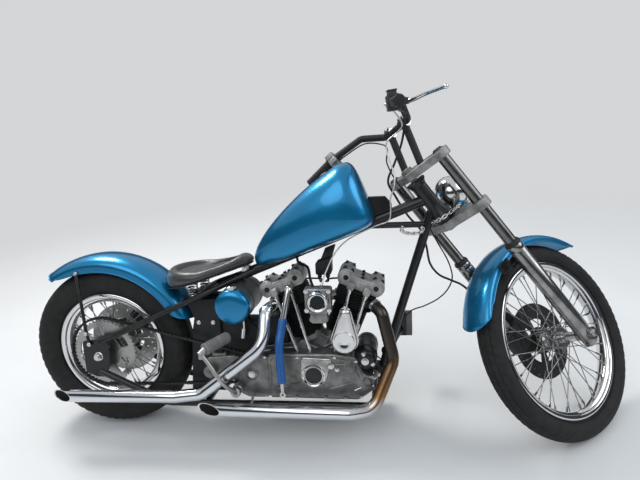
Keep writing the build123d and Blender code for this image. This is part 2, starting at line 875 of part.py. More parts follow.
# Front end, modelled in the fork's own frame: X forward, Y left, Z up along the steering axis
def in_fork(shape):
    """Moves a piece from the fork's own frame to the bike's."""
    return fork_frame.location * shape


def upright(x, y, low, high, radius):
    """A round bar along the fork's own axis."""
    return rod((x, y, low), (x, y, high), radius)


def tree(low, high):
    """A fork tree: the outline round both legs and the stem, bored for them."""
    rings = [(fork_offset, leg_y, tube_radius + tree_wall), (fork_offset, -leg_y, tube_radius + tree_wall)]
    rings += [(0, 0, stem_radius + tree_wall + 4)]
    edges = ShapeList()
    for x, y, radius in rings:
        edges += (Pos(x, y) * Circle(radius)).edges()
    plate = Pos(0, 0, low) * extrude(make_hull(edges), amount=high - low, dir=(0, 0, 1))
    for y in (-leg_y, leg_y):
        plate -= upright(fork_offset, y, low - 1, high + 1, tube_radius + seat_gap)
    return plate - upright(0, 0, low - 1, high + 1, stem_radius + seat_gap)


def grown_bar(extra):
    """The handlebar, with its tube this much thicker than it is."""
    return bent_tube(bar_points, bar_radius + extra, bar_bend)


slider = upright(fork_offset, leg_y, -slider_end, slider_top, slider_radius)
slider = fillet(slider.edges().sort_by(Axis.Z)[0], 14)
slider -= rod((fork_offset, leg_y - 60, 0), (fork_offset, leg_y + 60, 0), axle_radius + seat_gap)
tube = upright(fork_offset, leg_y, slider_top, fork_length, tube_radius)
front_axle_bar = rod((fork_offset, -leg_y - 40, 0), (fork_offset, leg_y + 40, 0), axle_radius)
stem = upright(0, 0, lower_tree_low - 6, upper_tree_high + 10, stem_radius)
stem_nut = Pos(0, 0, upper_tree_high + seat_gap) * extrude(RegularPolygon(22, 6), amount=14)
stem += stem_nut
press_ring = upright(0, 0, lower_tree_low, lower_tree_high, stem_radius + seat_gap + 1)

nodes["fork_sliders"] = ("steered", [in_fork(s) for s in pair(slider)])
nodes["fork_tubes"] = ("steered", [in_fork(s) for s in pair(tube)])
lower_tree = tree(lower_tree_low, lower_tree_high) + press_ring + stem
nodes["lower_tree"] = ("steered", [in_fork(lower_tree)])
nodes["upper_tree"] = ("steered", [in_fork(tree(upper_tree_low, upper_tree_high))])
nodes["front_axle"] = ("steered", [in_fork(front_axle_bar)])

# Headlamp on a stalk from the lower tree
lamp_at = on_axis(lamp_height) + fork_forward * lamp_out
lamp_profile = make_face(
    [
        Line((0, 0), (lamp_radius, 0)),
        Line((lamp_radius, 0), (lamp_radius, -30)),
        ThreePointArc((lamp_radius, -30), (lamp_radius * 0.74, -76), (0, -lamp_depth)),
        Line((0, -lamp_depth), (0, 0)),
    ]
)
lamp_bowl = revolve(Plane.XZ * lamp_profile, Axis.Z)
lamp_frame = Plane(origin=lamp_at + Vector(48, 0, 0), x_dir=(0, 1, 0), z_dir=(1, 0, 0))
headlamp = lamp_frame * lamp_bowl
lamp_stalk = rod(on_axis(lower_tree_high) + fork_forward * 42, lamp_at - Vector(0, 0, 30), 9)
headlamp += lamp_stalk
headlamp -= in_fork(tree(lower_tree_low, lower_tree_high))
nodes["headlamp"] = ("steered", [headlamp])

# Risers, handlebar, grips and hand controls
bar_centre = Vector(1164, 0, 1132)
bar_knee = Vector(1092, 128, 1150)
grip_start = Vector(1010, 186, 1096)
grip_end = Vector(944, 292, 1030)
riser_foot = on_axis(upper_tree_high) + fork_forward * 34


def mirrored(point):
    """The same place on the right side."""
    return Vector(point.X, -point.Y, point.Z)


bar_points = [
    mirrored(grip_end),
    mirrored(grip_start),
    mirrored(bar_knee),
    Vector(bar_centre.X, -riser_y - 22, bar_centre.Z),
    Vector(bar_centre.X, riser_y + 22, bar_centre.Z),
    bar_knee,
    grip_start,
    grip_end,
]
bar_bend = 30.0
handlebar = grown_bar(0)
bar_way_in = grown_bar(seat_gap)
grip_way = (grip_end - grip_start).normalized()
grip_inner = grip_start + grip_way * 34
grip = rod(grip_inner, grip_end + grip_way * 4, grip_radius)
grip -= rod(grip_inner - grip_way * 2, grip_end + grip_way * seat_gap, bar_radius + seat_gap)
perch_mid = grip_start + grip_way * 16
housing_frame = Plane(origin=perch_mid, x_dir=Vector(0, 0, 1).cross(grip_way), z_dir=grip_way)
housing = housing_frame * Box(40, 42, 34)
housing = fillet(housing.edges(), 5)
mirror_boss = perch_mid + housing_frame.x_dir * -16
perch_out = housing_frame.x_dir * (-1 if housing_frame.x_dir.X < 0 else 1)
lever_root = perch_mid + perch_out * 40
housing += rod(perch_mid, lever_root, 8)
mirror_hole_radius = 5.0
mirror_hole_at = perch_mid + perch_out * 30
boss_up = housing_frame.y_dir * (1 if housing_frame.y_dir.Z > 0 else -1)
housing += rod(mirror_hole_at - boss_up * 10, mirror_hole_at + boss_up * 12, 10)
housing -= bar_way_in
housing -= rod(mirror_hole_at - boss_up * 4, mirror_hole_at + boss_up * 14, mirror_hole_radius)
hand_lever = rod(lever_root + perch_out * 4 - boss_up * 0, lever_root + grip_way * 150 + perch_out * 14, 5)
hand_lever += Pos(*(lever_root + grip_way * 150 + perch_out * 14)) * Sphere(8)
hand_lever -= housing

risers = []
for y in (-riser_y, riser_y):
    top = Vector(bar_centre.X, y, bar_centre.Z)
    foot = Vector(riser_foot.X, y, riser_foot.Z)
    riser = rod(foot, top, riser_radius) + across(bar_centre.X, bar_centre.Z, bar_radius + 7, y - 15, y + 15)
    riser -= bar_way_in
    riser -= in_fork(tree(upper_tree_low, upper_tree_high))
    risers.append(largest(riser))
nodes["risers"] = ("steered", risers)
nodes["handlebar"] = ("steered", [handlebar])
nodes["grips"] = ("steered", pair(grip))
nodes["control_housings"] = ("steered", pair(housing))
nodes["hand_levers"] = ("steered", pair(largest(hand_lever)))


def corner_radii(points):
    """The arc at each corner, as large as the shorter of its two runs allows."""
    radii = []
    for before, corner, after in zip(points, points[1:], points[2:]):
        run_in, run_out = corner - before, after - corner
        half_turn = math.radians(run_in.get_angle(run_out)) / 2
        radii.append(0.45 * min(run_in.length, run_out.length) / math.tan(half_turn))
    return radii


def held_cord(name, points, radius):
    """A cable or hose, held at both ends, along its route."""
    points = [Vector(*p) for p in points]
    radii = corner_radii(points)
    print(name, "radii", [round(r) for r in radii], "smallest in diameters", round(min(radii) / radius / 2, 1))
    return bent_tube(points, radius, radii)


# The cables leave the inner faces of the control housings, beside the handlebar
housing_face = perch_mid - grip_way * (17 + seat_gap)
clutch_exit = housing_face - boss_up * 18
hose_exit = mirrored(housing_face + perch_out * 13 - boss_up * 14 - grip_way * 1.3)
throttle_exit = mirrored(housing_face - perch_out * 16.5)
inward = grip_way * -24
front_caliper_top = 132.0
hose_route = [
    # x, y, z in the bike's frame, with the steering straight
    hose_exit,
    hose_exit + mirrored(inward + perch_out * 6 - boss_up * 8),
    (1108, -118, 1118),
    (1142, -66, 1104),
    (1160, -12, 1066),
    (1152, 32, 1014),
]
hose_in_fork = [
    # x, y and height in the fork's frame
    (-26, 76, 824),
    (-26, 96, 764),
    (-24, 112, 680),
    (-14, 119, 600),
    (-42, 120, 548),
    (-80, 120, 496),
    (-82, 119, 444),
    (-56, 118, 396),
    (-30, 117, 350),
    (-24, 112, 296),
    (-34, 100, 240),
    (-46, 84, 196),
    (-50, 62, 160),
    (-50, 62, front_caliper_top + seat_gap),
]
hose_route += [(fork_frame.location * Pos(*q)).position for q in hose_in_fork]
nodes["front_brake_hose"] = ("steered", [held_cord("front brake hose", hose_route, hose_radius)])

# Front fender, its brackets, and the front caliper
front_fender = fender(
    front_fender_radius,
    front_fender_edge,
    front_fender_half,
    front_fender_front_deg,
    front_fender_rear_deg,
    front_axle,
)
bracket = in_fork(box_between((fork_offset - 62, front_fender_half, 330), (fork_offset, leg_y, 364)))
bracket -= in_fork(slider)
for piece in pair(largest(bracket)):
    front_fender += piece
nodes["front_fender"] = ("steered", [front_fender])
front_caliper = box_between(
    (fork_offset - 128, front_disc_y - 24, 40), (fork_offset - 62, front_disc_y + 24, front_caliper_top)
)
front_caliper += box_between((fork_offset - 90, front_disc_y + 14, 70), (fork_offset, leg_y, 100))
front_caliper -= rod(
    (fork_offset, front_disc_y - slot, 0), (fork_offset, front_disc_y + slot, 0), front_disc_radius + running_gap
)
front_caliper -= slider
nodes["front_caliper"] = ("steered", [in_fork(largest(front_caliper))])

# Side stand: its bracket and pin belong to the frame, the leg turns on the pin
leg_way = Vector(*stand_leg_dir).normalized()
fold_axis = leg_way.cross(Vector(*stand_fold_dir).normalized()).normalized()
pivot = Vector(*stand_pivot)
pivot_frame = Plane(origin=pivot, x_dir=leg_way, z_dir=fold_axis)
half_eye = stand_eye_height / 2
pin = pivot_frame * Pos(0, 0, -half_eye - stand_gap - 5) * Cylinder(
    stand_pin_radius, stand_eye_height + 2 * stand_gap + 10, align=(Align.CENTER, Align.CENTER, Align.MIN)
)
cap_low, cap_high = half_eye + stand_gap, half_eye + stand_gap + 8
cap = pivot_frame * Pos(0, 0, cap_low) * Cylinder(
    stand_eye_radius - 2, 8, align=(Align.CENTER, Align.CENTER, Align.MIN)
)
washer = pivot_frame * Pos(0, 0, -cap_high + 3) * Cylinder(
    stand_eye_radius - 4, 5, align=(Align.CENTER, Align.CENTER, Align.MIN)
)
lug_start = pivot + fold_axis * (cap_low + 5.6)
lug_knee = lug_start - leg_way * 42
lug = bent_tube([lug_start, lug_knee, (lug_knee.X, rail_front_y + 2, rail_z)], 5, 8)
stand_bracket = lug + cap + pin + washer
left_rail, right_rail = pair(rail)
stand_bracket -= left_rail
nodes["stand_bracket"] = ("frame", [largest(stand_bracket)])


# Placing: the steering turned, the bike pitched so that both tyres reach the floor, and leaned
def steering_turn(degrees):
    """Turns a piece about the steering axis, to the left when positive."""
    return fork_frame.location * Location((0, 0, 0), (0, 0, degrees)) * fork_frame.location.inverse()


def leaned(pitch_deg):
    """The lean and pitch about the rear axle's middle."""
    return Location((0, 0, 0), (-lean_deg, 0, 0)) * Location((0, 0, 0), (0, pitch_deg, 0)) * Pos(*(rear_axle * -1))


def moved_point(place, point):
    """Where a place moves a point."""
    return (place * Pos(*point)).position


def drop(place, centre, radius, crown):
    """How far a tyre reaches below its wheel's centre."""
    side = moved_point(place, Vector(*centre) + Vector(0, 1, 0)) - moved_point(place, centre)
    return (radius - crown) * math.sqrt(1 - side.Z**2) + crown


turn_left = steering_turn(steering_stop_deg)

# The clutch and throttle cables run from the bar, across the steering axis, to the engine, and bend as it turns
clutch_on_bar = [
    clutch_exit,
    clutch_exit + inward - boss_up * 6,
    (1090, 110, 1120),
    (1134, 62, 1098),
    (1118, 18, 1052),
]
clutch_on_frame = [
    # x, y, z in the bike's frame
    (1102, 14, 1002),
    (1121, 8, 956),
    (1145, 14, 917),
    (1180, 46, 870),
    (1218, 50, 812),
    (1254, 40, 752),
    (1281, 44, 699),
    (1308, 42, 651),
    (1324, 36, 610),
    (1329, 30, 571),
    (1312, 26, 531),
    (1279, 23, 498),
    (1230, 22, 471),
    (1178, 22, 450),
    (1144, 19, 404),
    (1128, 17, 350),
    (1112, 16, 298),
    (1098, 26, 254),
    (1070, 56, 238),
    (1030, 88, 252),
    (974, 100, 262),
]
throttle_on_bar = [
    throttle_exit,
    throttle_exit + mirrored(inward - perch_out * 6),
    (1068, -116, 1116),
    (1118, -84, 1098),
    (1124, -48, 1088),
    (1104, -4, 1070),
]
throttle_on_frame = [
    (1106, -2, 1026),
    (1117, -22, 992),
    (1128, -48, 952),
    (1124, -56, 914),
    (1112, -52, 878),
    (1112, -47, 836),
    (1103, -35, 800),
    (1050, -29, 779),
    (960, -32, 736),
    (912, -54, 690),
    (884, -92, 636),
    (868, -118, 591.6),
]
for name, on_bar, on_frame in (
    ("clutch_cable", clutch_on_bar, clutch_on_frame),
    ("throttle_cable", throttle_on_bar, throttle_on_frame),
):
    route = [moved_point(turn_left, p) for p in on_bar] + [Vector(*p) for p in on_frame]
    nodes[name] = ("frame", [held_cord(name, route, cable_radius)])
pitch_deg = 0.0
for attempt in range(30):
    body = leaned(pitch_deg)
    rear_low = moved_point(body, rear_axle).Z - drop(body, rear_axle, rear_radius, rear_crown_radius)
    front_low = moved_point(body * turn_left, front_axle).Z - drop(
        body * turn_left, front_axle, front_radius, front_crown_radius
    )
    pitch_deg += math.degrees((front_low - rear_low) / wheelbase)
parked = Pos(0, 0, -rear_low) * body

# The stand's leg runs from its eye to a flat foot on the floor
pivot_at = moved_point(parked, pivot)
leg_at = moved_point(parked, pivot + leg_way) - pivot_at
leg_length = (pivot_at.Z - stand_foot_thick / 2) / -leg_at.Z
foot_at = pivot_at + leg_at * leg_length
foot = Pos(foot_at.X, foot_at.Y, 0) * Cylinder(
    stand_foot_radius, stand_foot_thick, align=(Align.CENTER, Align.CENTER, Align.MIN)
)
eye = pivot_frame * Cylinder(stand_eye_radius, stand_eye_height)
leg = parked * (eye + rod(pivot + leg_way * 12, pivot + leg_way * leg_length, stand_leg_radius))
leg_floor = Pos(foot_at.X, foot_at.Y, -200) * Box(400, 400, 200, align=(Align.CENTER, Align.CENTER, Align.MIN))
leg -= leg_floor
leg -= parked * (pivot_frame * Cylinder(stand_pin_radius + shaft_gap, 60))
side_stand = leg + foot

placed = {}
for name, (group, shapes) in nodes.items():
    place = parked * turn_left if group == "steered" else parked
    placed[name] = [s.moved(place) for piece in shapes for s in piece.solids()]
placed["side_stand"] = side_stand.solids()

boxes = [s.bounding_box() for shapes in placed.values() for s in shapes]
low = [min(tuple(b.min)[i] for b in boxes) for i in range(3)]
high = [max(tuple(b.max)[i] for b in boxes) for i in range(3)]
centre = Pos(-(low[0] + high[0]) / 2, -(low[1] + high[1]) / 2, 0)

os.makedirs("parts", exist_ok=True)
for name, shapes in placed.items():
    solids = [s.moved(centre) for s in shapes]
    export_step(solids[0] if len(solids) == 1 else Compound(children=solids), f"parts/{name}.step")


def told(name, place, point, way=None):
    """Prints a place in the parked frame, in metres, with a direction where one is given."""
    at = moved_point(centre * place, point)
    line = f"{name} at {at.X / 1000:.6f} {at.Y / 1000:.6f} {at.Z / 1000:.6f}"
    if way is not None:
        there = moved_point(centre * place, Vector(*point) + Vector(*way)) - at
        line += f" way {there.X:.6f} {there.Y:.6f} {there.Z:.6f}"
    print(line)


told("rear_wheel", parked, rear_axle, (0, 1, 0))
told("steering", parked, fork_foot, fork_up)
told("front_wheel", parked * turn_left, front_axle, (0, 1, 0))
told("side_stand", parked, pivot, fold_axis)
told("mirror_left", parked * turn_left, mirror_hole_at + boss_up * 4, boss_up)
told("mirror_right", parked * turn_left, mirrored(mirror_hole_at + boss_up * 4), mirrored(boss_up))
told("clutch_cable", parked, clutch_on_frame[-1])
told("throttle_cable", parked, throttle_on_frame[-1])
print("box", [round(v, 2) for v in (*low, *high)], "pitch", round(pitch_deg, 3), "leg", round(leg_length, 1))
print("nodes", len(placed))
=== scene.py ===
"""The looks of a chopper motorcycle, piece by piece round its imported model."""

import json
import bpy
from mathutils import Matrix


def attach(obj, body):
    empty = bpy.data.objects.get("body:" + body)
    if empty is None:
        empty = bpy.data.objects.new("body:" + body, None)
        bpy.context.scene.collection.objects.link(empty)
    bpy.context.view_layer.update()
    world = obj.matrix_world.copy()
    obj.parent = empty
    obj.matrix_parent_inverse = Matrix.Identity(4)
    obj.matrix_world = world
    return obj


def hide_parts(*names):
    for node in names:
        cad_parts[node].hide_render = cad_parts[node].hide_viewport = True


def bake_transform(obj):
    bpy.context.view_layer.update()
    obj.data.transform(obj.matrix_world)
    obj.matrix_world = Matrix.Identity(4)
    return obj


bl_info = {
    "name": "Chopper Motorcycle",
    "version": (1, 0, 0),
    "blender": (4, 5, 0),
    "location": "3D View > Sidebar > Chopper",
    "description": "Builds a blue rigid-frame chopper round its packed model, piece by piece",
    "category": "Object",
}

from math import acos, atan2, copysign, cos, hypot, pi, radians, sin, sqrt, tan

import bmesh
import bpy
from bpy.props import FloatProperty, FloatVectorProperty, IntProperty, PointerProperty
from mathutils import Matrix, Vector
from mathutils.geometry import convex_hull_2d

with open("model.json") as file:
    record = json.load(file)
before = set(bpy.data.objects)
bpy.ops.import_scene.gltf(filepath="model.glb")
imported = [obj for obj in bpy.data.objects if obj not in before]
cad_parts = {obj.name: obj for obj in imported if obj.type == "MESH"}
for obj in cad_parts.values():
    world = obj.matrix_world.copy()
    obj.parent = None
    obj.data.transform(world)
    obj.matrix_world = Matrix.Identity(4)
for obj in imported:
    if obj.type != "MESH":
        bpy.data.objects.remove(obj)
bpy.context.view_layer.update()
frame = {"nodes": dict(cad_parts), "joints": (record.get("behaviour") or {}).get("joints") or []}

# The bike's own frame in the parked model: X forward, Y left, Z up, in millimetres from under the rear axle
MM = 0.001
RAKE = radians(37.5)
STEER = radians(45.0)
REAR_RADIUS, FRONT_RADIUS, WHEELBASE = 322.0, 350.0, 1700.0
FORK_OFFSET, LEG_Y = 45.0, 125.0
joints = {j["name"]: j for j in frame["joints"]}
left_way = Vector(joints["rear_wheel_spin"]["axis"]).normalized()
fork_up = Vector(joints["steering_turn"]["axis"]).normalized()
fork_forward = left_way.cross(fork_up)
bike_x = fork_forward * cos(RAKE) - fork_up * sin(RAKE)
bike_z = fork_forward * sin(RAKE) + fork_up * cos(RAKE)
rear_axle = Vector(joints["rear_wheel_spin"]["pos_m"])


def frame_of(origin, x, y, z):
    """The matrix of a local frame, from its origin and its three directions."""
    matrix = Matrix((x, y, z)).transposed().to_4x4()
    matrix.translation = Vector(origin)
    return matrix


BIKE = frame_of(rear_axle - bike_z * REAR_RADIUS * MM, bike_x, left_way, bike_z) @ Matrix.Scale(MM, 4)
steer_at = Vector(joints["steering_turn"]["pos_m"])
TURNED = Matrix.Translation(steer_at) @ Matrix.Rotation(STEER, 4, fork_up) @ Matrix.Translation(-steer_at)
STEERED = TURNED @ BIKE
fork_x = Vector((cos(RAKE), 0, sin(RAKE)))
fork_z = Vector((-sin(RAKE), 0, cos(RAKE)))
fork_foot = Vector((WHEELBASE, 0, FRONT_RADIUS)) - fork_x * FORK_OFFSET
FORK = STEERED @ frame_of(fork_foot, fork_x, Vector((0, 1, 0)), fork_z)
REAR_WHEEL = BIKE @ Matrix.Translation((0, 0, REAR_RADIUS))
FRONT_WHEEL = STEERED @ Matrix.Translation((WHEELBASE, 0, FRONT_RADIUS))
STEER_FREE = frame_of(fork_foot, fork_x, Vector((0, 1, 0)), fork_z)
BACKBONE_END = Vector((560.0, 0.0, 607.0))
SLOPE = atan2(263.02, 684.254)


def on_axis(height):
    """A point of the steering axis in the bike's frame, by its height above the front axle."""
    return fork_foot + fork_z * height


def backbone_z(x):
    """Height of the backbone's middle."""
    return BACKBONE_END.z + (x - BACKBONE_END.x) * tan(SLOPE)


TANK = BIKE @ frame_of(
    (613.0, 0.0, backbone_z(613.0)), Vector((cos(SLOPE), 0, sin(SLOPE))), Vector((0, 1, 0)),
    Vector((-sin(SLOPE), 0, cos(SLOPE))),
)


# Materials
class Value:
    """A number in a material; sums and products of it add Math nodes."""

    def __init__(self, nodes, socket):
        self.nodes, self.socket = nodes, socket

    def _with(self, operation, *others):
        out = self.nodes.node("ShaderNodeMath", {"operation": operation}, self, *others)
        return Value(self.nodes, out.outputs[0])

    def __add__(self, other):
        return self._with("ADD", other)

    def __mul__(self, other):
        return self._with("MULTIPLY", other)

    def __sub__(self, other):
        return self._with("SUBTRACT", other)

    def __truediv__(self, other):
        return self._with("DIVIDE", other)

    def __rsub__(self, other):
        return (self * -1.0) + other

    __radd__, __rmul__ = __add__, __mul__

    def clamp(self, low, high):
        return self._with("MAXIMUM", low)._with("MINIMUM", high)

    def sine(self):
        return self._with("SINE")


class Nodes:
    """A node tree under construction."""

    def __init__(self, tree):
        self.tree = tree
        self._object = None

    def feed(self, socket, value):
        """Gives a socket a value or a link."""
        value = value.socket if isinstance(value, Value) else value
        if isinstance(value, bpy.types.NodeSocket):
            self.tree.links.new(value, socket)
        else:
            socket.default_value = value

    def node(self, kind, settings=None, *values, **named):
        """Adds a node: its settings or a ramp's stops first, then its sockets by place or name."""
        made = self.tree.nodes.new(kind)
        for key, value in (settings or {}).items():
            if key == "stops":
                for element, (position, colour) in zip(made.color_ramp.elements, value):
                    element.position, element.color = position, colour
            else:
                setattr(made, key, value)
        pairs = list(enumerate(values)) + [(k.replace("_", " "), v) for k, v in named.items()]
        for key, value in pairs:
            self.feed(made.inputs[key], value)
        return made

    def place(self):
        """The piece's own coordinates, in metres."""
        if self._object is None:
            self._object = self.node("ShaderNodeTexCoord").outputs["Object"]
        return self._object

    def axis(self, index):
        """One coordinate of the piece's own place."""
        return Value(self, self.node("ShaderNodeSeparateXYZ", None, self.place()).outputs[index])

    def noise(self, scale, detail=3.0, rough=0.5):
        """Soft noise, 0 to 1, at so many cells a metre."""
        made = self.node("ShaderNodeTexNoise", None, Vector=self.place(), Scale=scale, Detail=detail,
                         Roughness=rough)
        return Value(self, made.outputs[0])

    def cells(self, scale):
        """Distance inside small cells, for leather and flakes."""
        made = self.node("ShaderNodeTexVoronoi", None, Vector=self.place(), Scale=scale)
        return Value(self, made.outputs[0])

    def mix(self, share, first, second):
        """A colour between two, by a share."""
        made = self.node("ShaderNodeMix", {"data_type": "RGBA"})
        for index, value in ((0, share), (6, first), (7, second)):
            if index and not isinstance(value, bpy.types.NodeSocket):
                value = (*value, 1.0)
            self.feed(made.inputs[index], value)
        return made.outputs[2]

    def seen(self):
        """1 for a ray from the camera, off metal or through glass, else 0."""
        ray = self.node("ShaderNodeLightPath").outputs
        first = Value(self, ray["Is Camera Ray"])._with("MAXIMUM", Value(self, ray["Is Glossy Ray"]))
        return first._with("MAXIMUM", Value(self, ray["Is Transmission Ray"]))


class Finish(Nodes):
    """A material under construction."""

    def __init__(self, name, colour, rough, metal=0.0, **fixed):
        self.material = bpy.data.materials.new(name)
        self.material.use_nodes = True
        super().__init__(self.material.node_tree)
        self.shader = self.tree.nodes["Principled BSDF"]
        self.set("Base Color", (*colour, 1.0))
        self.set("Roughness", rough)
        self.set("Metallic", metal)
        for socket, value in fixed.items():
            self.set(socket.replace("_", " "), value)

    def set(self, socket, value):
        """Gives one of the shader's sockets a value or a link."""
        self.feed(self.shader.inputs[socket], value)

    def bump(self, height, strength=0.3, distance=0.001):
        """Raises the surface by a height."""
        made = self.node("ShaderNodeBump", None, Strength=strength, Distance=distance, Height=height)
        self.set("Normal", made.outputs[0])


def blue_paint(colours):
    """Metallic blue under a clear coat, with fine flake."""
    paint = Finish(
        "metallic_blue_paint", colours.blue, 0.3, 0.8, Coat_Weight=0.55, Coat_Roughness=0.04, Coat_IOR=1.5,
        Specular_IOR_Level=0.3,
    )
    flake = paint.cells(2600.0)
    broad = paint.noise(3.0, 2.0)
    deep = [c * 0.72 for c in colours.blue]
    light = [min(1.0, c * 1.12 + 0.012) for c in colours.blue]
    paint.set("Base Color", paint.mix((flake * 0.7 + broad * 0.4).clamp(0.0, 1.0), deep, light))
    paint.set("Roughness", flake * 0.12 + 0.24)
    return paint.material


def black_paint(colours):
    """Gloss black frame paint with a little road dust."""
    paint = Finish("gloss_black_paint", colours.black, 0.25, 0.0, Specular_IOR_Level=0.4)
    dust = paint.noise(14.0, 5.0, 0.6)
    paint.set("Base Color", paint.mix((dust * 1.6 - 0.8).clamp(0.0, 0.4), colours.black,
                                      (0.035, 0.034, 0.032)))
    paint.set("Roughness", dust * 0.3 + 0.14)
    return paint.material


def satin_black(name, tone=0.018, rough=0.5):
    """Satin black of cast and pressed pieces."""
    paint = Finish(name, (tone,) * 3, rough, 0.0, Specular_IOR_Level=0.3)
    grain = paint.noise(900.0, 2.0)
    wear = paint.noise(22.0, 4.0, 0.6)
    paint.set("Base Color", paint.mix((wear * 1.4 - 0.6).clamp(0.0, 1.0), (tone,) * 3, (tone * 2.6,) * 3))
    paint.set("Roughness", wear * 0.25 + (rough - 0.12))
    paint.bump(grain, 0.12, 0.0003)
    return paint.material


def chrome(name="polished_chrome", tone=0.7, rough=0.06):
    """Plated chrome with faint smears."""
    plate = Finish(name, (tone, tone * 1.005, tone * 1.015), rough, 1.0)
    smear = plate.noise(35.0, 4.0, 0.55)
    plate.set("Roughness", smear * 0.1 + max(rough - 0.03, 0.02))
    plate.set("Base Color", plate.mix(smear, (tone * 0.9,) * 3, (min(tone * 1.08, 1.0),) * 3))
    return plate.material


def steel(name="brushed_steel", tone=0.42, rough=0.32):
    """Worn bare steel."""
    metal = Finish(name, (tone, tone, tone * 1.02), rough, 1.0)
    grain = metal.noise(320.0, 3.0, 0.6)
    stain = metal.noise(28.0, 4.0, 0.65)
    metal.set("Base Color", metal.mix(stain, (tone * 0.6, tone * 0.58, tone * 0.56), (tone * 1.25,) * 3))
    metal.set("Roughness", stain * 0.25 + (rough - 0.08))
    metal.bump(grain, 0.08, 0.0003)
    return metal.material


def cast_alloy(name, tone, rough, grain_strength=0.35, polish=0.0):
    """Cast or polished aluminium with grime in its hollows."""
    metal = Finish(name, (tone, tone, tone), rough, 0.9)
    grain = metal.noise(700.0, 2.0, 0.5)
    grime = metal.noise(24.0, 5.0, 0.62)
    dark = (tone * 0.42, tone * 0.40, tone * 0.37)
    light = (tone * 1.12, tone * 1.12, tone * 1.13)
    metal.set("Base Color", metal.mix((grime * 2.2 - 0.65).clamp(0.0, 1.0), dark, light))
    metal.set("Roughness", (grime * -0.3 + (rough + 0.18 - polish)).clamp(0.08, 0.9))
    metal.bump(grain, grain_strength, 0.0004)
    return metal.material


def tyre_rubber():
    """Tyre rubber, greyer on the walls where dust lies."""
    rubber = Finish("tyre_rubber", (0.015, 0.015, 0.016), 0.72, Specular_IOR_Level=0.25)
    dust = rubber.noise(30.0, 5.0, 0.6)
    fine = rubber.noise(1400.0, 2.0)
    rubber.set("Base Color", rubber.mix((dust * 1.5 - 0.45).clamp(0.0, 1.0), (0.009,) * 3,
                                        (0.03, 0.029, 0.028)))
    rubber.set("Roughness", dust * 0.25 + 0.55)
    rubber.bump(fine, 0.15, 0.0003)
    return rubber.material


def soft_rubber():
    """Grips, hoses and pads."""
    rubber = Finish("black_rubber", (0.012, 0.012, 0.012), 0.55, Specular_IOR_Level=0.35)
    fine = rubber.noise(900.0, 2.0)
    rubber.set("Roughness", rubber.noise(40.0) * 0.25 + 0.42)
    rubber.bump(fine, 0.12, 0.0003)
    return rubber.material


def black_leather():
    """Seat leather: fine grain with creases and a soft shine."""
    hide = Finish("black_leather", (0.03, 0.03, 0.032), 0.4, 0.0, Sheen_Weight=0.15, Specular_IOR_Level=0.6)
    grain = hide.cells(900.0)
    crease = hide.noise(55.0, 5.0, 0.6)
    wear = hide.noise(12.0, 3.0)
    hide.set("Base Color", hide.mix((wear * 1.5 - 0.4).clamp(0.0, 1.0), (0.012, 0.012, 0.013),
                                    (0.035,) * 3))
    hide.set("Roughness", (grain * 0.2 + wear * 0.16 + 0.14).clamp(0.16, 0.8))
    hide.bump(grain * 0.6 + crease * 1.2, 0.28, 0.0008)
    return hide.material


def blue_sleeve():
    """Slightly dulled blue rubber sleeve."""
    skin = Finish("blue_sleeve", (0.002, 0.08, 0.27), 0.35, 0.0, Coat_Weight=0.2)
    scuff = skin.noise(60.0, 4.0, 0.6)
    skin.set("Base Color", skin.mix(scuff, (0.001, 0.05, 0.2), (0.004, 0.1, 0.32)))
    skin.set("Roughness", scuff * 0.3 + 0.22)
    return skin.material


def braided_steel():
    """Silver braid round the throttle cable."""
    wire = Finish("braided_steel", (0.62, 0.63, 0.64), 0.35, 0.85)
    weave = wire.cells(1400.0)
    wire.set("Base Color", wire.mix(weave, (0.42, 0.42, 0.43), (0.78, 0.79, 0.8)))
    wire.bump(weave, 0.4, 0.0004)
    return wire.material


def header_chrome():
    """Exhaust chrome, tarnished gold and brown by heat at the front bend."""
    plate = Finish("exhaust_chrome", (0.66, 0.68, 0.71), 0.09, 1.0)
    along = plate.axis(0)
    high = plate.axis(2)
    blotch = plate.noise(16.0, 3.0) * 0.5 - 0.25
    hot = ((along - 0.13) * 14.0).clamp(0.0, 1.0) * ((high - 0.155) * 16.0 + blotch).clamp(0.0, 1.0)
    brown = (((high - 0.22) * 8.0) + blotch * 2.0).clamp(0.0, 1.0)
    burnt = plate.mix(brown, (0.28, 0.15, 0.06), (0.07, 0.06, 0.052))
    plate.set("Base Color", plate.mix(hot, (0.66, 0.68, 0.71), burnt))
    plate.set("Roughness", (plate.noise(30.0) * 0.1 + hot * 0.22 + 0.05).clamp(0.03, 0.5))
    return plate.material


def lamp_glass():
    """Ribbed lens whose colour is a painted reflection, as bright as a reflector behind it would make it,
    with painted light and shade in stripes along the ribs.
    """
    glass = Finish("lamp_glass", (0.85, 0.88, 0.9), 0.08, 0.0, Coat_Weight=1.0, Coat_Roughness=0.02)
    ribs = (glass.axis(0) * 520.0).sine()
    # painted reflection: the pale colour and its lighter and darker stripes along the ribs stand in for the
    # lit reflector seen through the lens
    glass.set("Base Color", glass.mix((ribs * 0.5 + 0.5).clamp(0.0, 1.0), (0.62, 0.66, 0.7),
                                      (0.9, 0.92, 0.94)))
    glass.bump(ribs, 0.3, 0.0008)
    return glass.material


BACKDROP = (0.66, 0.67, 0.68)
finishes = {}


